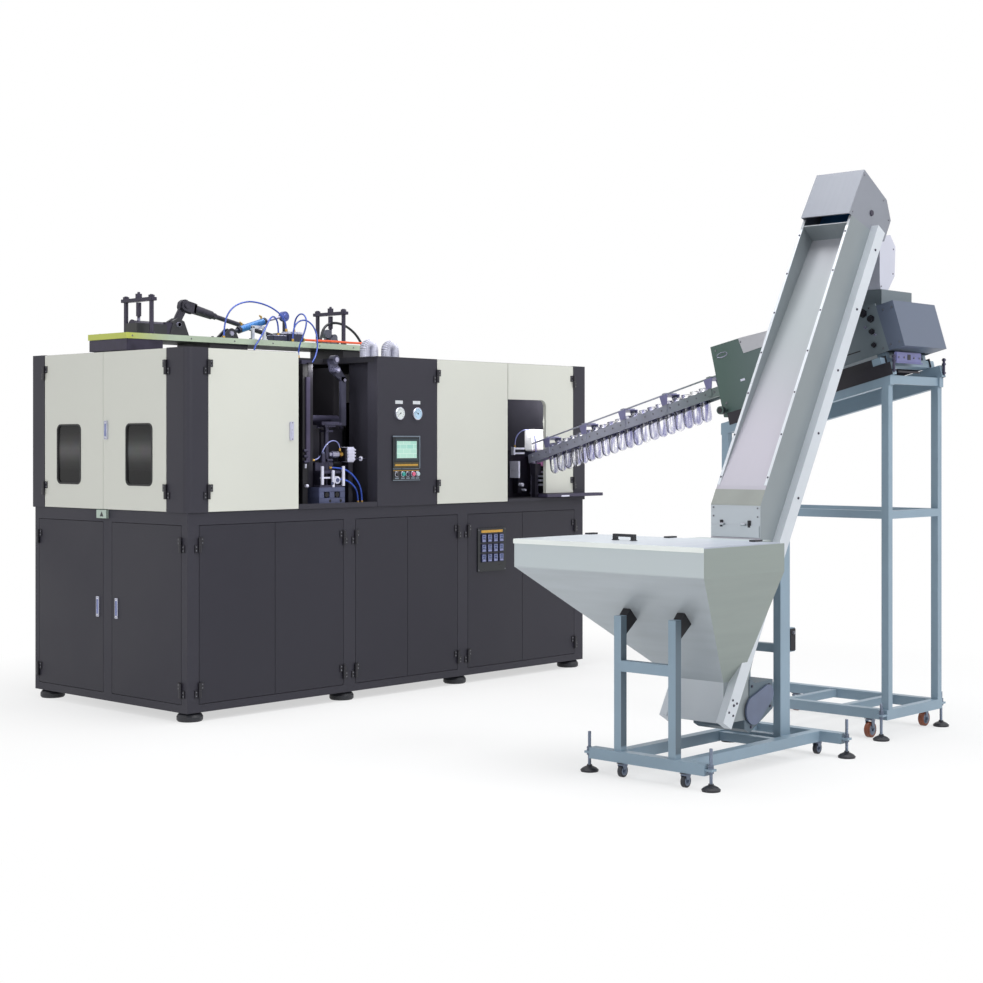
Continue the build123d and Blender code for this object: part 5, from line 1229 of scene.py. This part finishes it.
# A bright strip along the folded front edge: a painted highlight.
Piece((314.5, 320, -3140, -2056, 1028, 1050, 1.5)).place(
    "lid_hem", finish("hem_painted_highlight", (238, 243, 240), 0.35, 0.2, 0.03, 3), "hopper_lid", "stainless")
Piece(
    (537.4, 558.6, -2591.6, -2469.4, 1066.6, 1079.6, 0.8),
    *(row for y in (-2591, -2486) for row in (
        (537.4, 558.6, y - 0.6, y + 16.6, 1050, 1067.5), (533, 563, y - 4, y + 20, 1050, 1053, 1))),
    *((844, 905.5, y - 0.6, y + 30.6, 1050, 1057.6, 0.5) for y in (-2080, -2560, -3040))
).place("lid_fittings", hinge_black, "hopper_lid", "stainless")

# CONVEYOR CASE
# A long box of stainless sheet whose front sinks as an open trough between
# two bright flanges, each screwed down along its length.
case_steel_painted_light = finish("case_stainless_painted_light", (138, 146, 150), 0.4, 0.3, 0.07, 1.6, 500, 0.04, (1, 12, 1))
tree = case_steel_painted_light.node_tree
coloured = tree.nodes["Principled BSDF"].inputs["Base Color"]
place = node(tree, "TexCoord").outputs
# Faces that tilt up take lighter tones with wavy bands of painted reflection, while the sides keep the darker
# brushed sheet: painted light.
painted_reflection_waves = node(tree, "TexWave", {"Vector": place["Object"], "Scale": 0.35, "Distortion": 6, "Detail Scale": 0.6})
pan_painted_light = colour_mix(tree, painted_reflection_waves.outputs["Fac"], shade((160, 166, 170)), shade((184, 181, 192)))
parts = node(tree, "SeparateXYZ", {0: place["Normal"]}).outputs
tilt = node(tree, "MapRange", {"Value": parts["Z"], "From Min": 0.1, "From Max": 0.4})
tree.links.new(colour_mix(tree, tilt, coloured.links[0].from_socket, pan_painted_light), coloured)
# Faces turned to −X are painted lighter still: painted light.
graded(case_steel_painted_light, (194, 200, 206), ("Normal", "X", -0.93, -0.99))
dress(case_steel_painted_light, "conveyor_case", "housing_flap")
Piece().prism([(1094.6, -2900, 1202), (1094.6, -2620, 1202), (1134.8, -2620, 1275.4), (1134.8, -2900, 1275.4)],
              (-1, 0, 0.5)).place(
    "case_step", finish("step_stainless", (150, 154, 150), 0.4, 0.3), slot="stainless")
lift_angle = math.radians(60.3)


def on_lift(s, y, d):
    """A point up the conveyor's slope, across it, and off its rails."""
    return Vector((743 + s * math.cos(lift_angle) - d * math.sin(lift_angle), y,
                   239 + s * math.sin(lift_angle) + d * math.cos(lift_angle)))


def on_front(s, y, out=0.0):
    """A point on the case's front, which stands further off the rails towards the head."""
    return on_lift(s, y, 172.8 + (s - 1094) / 1550 * 11.2 + out)


lift_out = on_lift(0, 0, 1) - on_lift(0, 0, 0)
flanges, flange_spots = Piece(), []
for y in (-2900, -2634):
    low, high, across = on_front(1118, y), on_front(2588, y), Vector((0, 14, 0))
    flanges.prism([low, high, high + across, low + across], lift_out * 1.6)
    flange_spots += [(on_front(s, y + 7, 1.5), lift_out) for s in range(1160, 2590, 232)]
flanges.place("case_flanges", finish("flange_bright", (214, 219, 226), 0.3, 0.3, 0.05, 4), slot="stainless")
screws("flange_screws", flange_spots, 5, 2.5, gate_black)
screws("housing_screws", [((1094.5, y, z), (-1, 0, 0)) for y in (-2885, -2635) for z in (1150, 1190)], 4.5, 2.5)

# SIDE RAILS
# Two extruded aluminium channels on edge that carry the case, bolted to it,
# with a lilac stop bracket on the near one.
dress(finish("rail_white", (206, 212, 219), 0.35, 0.25, 0.04, 2), "side_rails")
screws("side_rail_screws", [(on_lift(100 + k * 355, y, -36), (0, way, 0)) for k in range(8)
                            for y, way in ((-2940, -1), (-2580, 1))],
       7, 4, gate_black, sides=6)
Piece().prism(
    [on_lift(s, -2941, d) for s, d in ((770, -62), (840, -62), (840, -10), (800, -10))], (0, -4, 0), 1
).place(
    "rail_stop_bracket", bearer_lilac, slot="stainless")
screws("rail_foot_screws", [(on_lift(s, -2940, d), (0, -1, 0)) for s in (58, 118) for d in (-18, -54)], 6, 3,
       gate_black, sides=6)

# HEAD HOOD AND CHUTE
# A folded stainless hood over the head pulley, and a chute of the same sheet
# that drops the preforms into the sorter's collar.
dress(finish("hood_stainless", (134, 138, 148), 0.4, 0.25, 0.05, 3, 500, 0.04, (1, 12, 1)), "head_hood")
dress(finish("chute_stainless", (204, 206, 220), 0.35, 0.3, 0.05, 3), "chute")
screws("hood_screws", [((x, -2900, z), (0, -1, 0)) for x, z in (
    (1905, 2650), (2020, 2845), (2205, 2735), (2255, 2640), (2200, 2548))], 5, 3)
Piece(
    ((2085, -2899, 2659), (2085, -2906, 2659), 16, 32, 14), ((850, -2899, 330), (850, -2907, 330), 18, 32, 16)
).place(
    "axle_caps", gate_black, slot="stainless")
screws("chute_screws", [((x, -2870, z), (0, -1, 0)) for x, z in (
    (2240, 2540), (2355, 2500), (2350, 2372), (2232, 2300))], 4.5, 2.5)

# BELT AND PULLEYS
# A blue conveyor belt on two rubber-lagged steel pulleys. The drive at the
# foot sits in a dark guard that is bolted to the case.
dress(finish("belt_blue_pvc", (52, 104, 158), 0.45, 0, 0.08, 20), "belt")
dress(roller_steel, "boot_pulley", "head_pulley")
dress(finish("guard_paint", (86, 101, 112), 0.42, 0.2, 0.08, 4), "drive_guard")
screws("guard_bolts",
       [((x, -2904, z), (0, -1, 0)) for x, z in ((1020, 372), (1160, 366), (1168, 265), (1010, 185))],
       7, 4, gate_black, sides=6)
rim = [(x + r * math.cos(math.radians(a)), -2905, z + r * math.sin(math.radians(a)))
       for x, z, r, start in ((1030, 262, 68, 120), (1142, 326, 44, 300))
       for a in range(start, start + 181, 15)]
Piece().prism(rim, (0, -9, 0), 1).place(
    "drive_cover", finish("drive_blue", (98, 108, 132), 0.38, 0.2, 0.1, 8), slot="stainless")
# Dark slats stand for the guard's louvre openings: painted shadow.
Piece(*((1192, 1194.5, -2870, -2650, z, z + 8, 0.6) for z in range(270, 380, 22))).place(
    "guard_louvres", deep_black, slot="stainless")
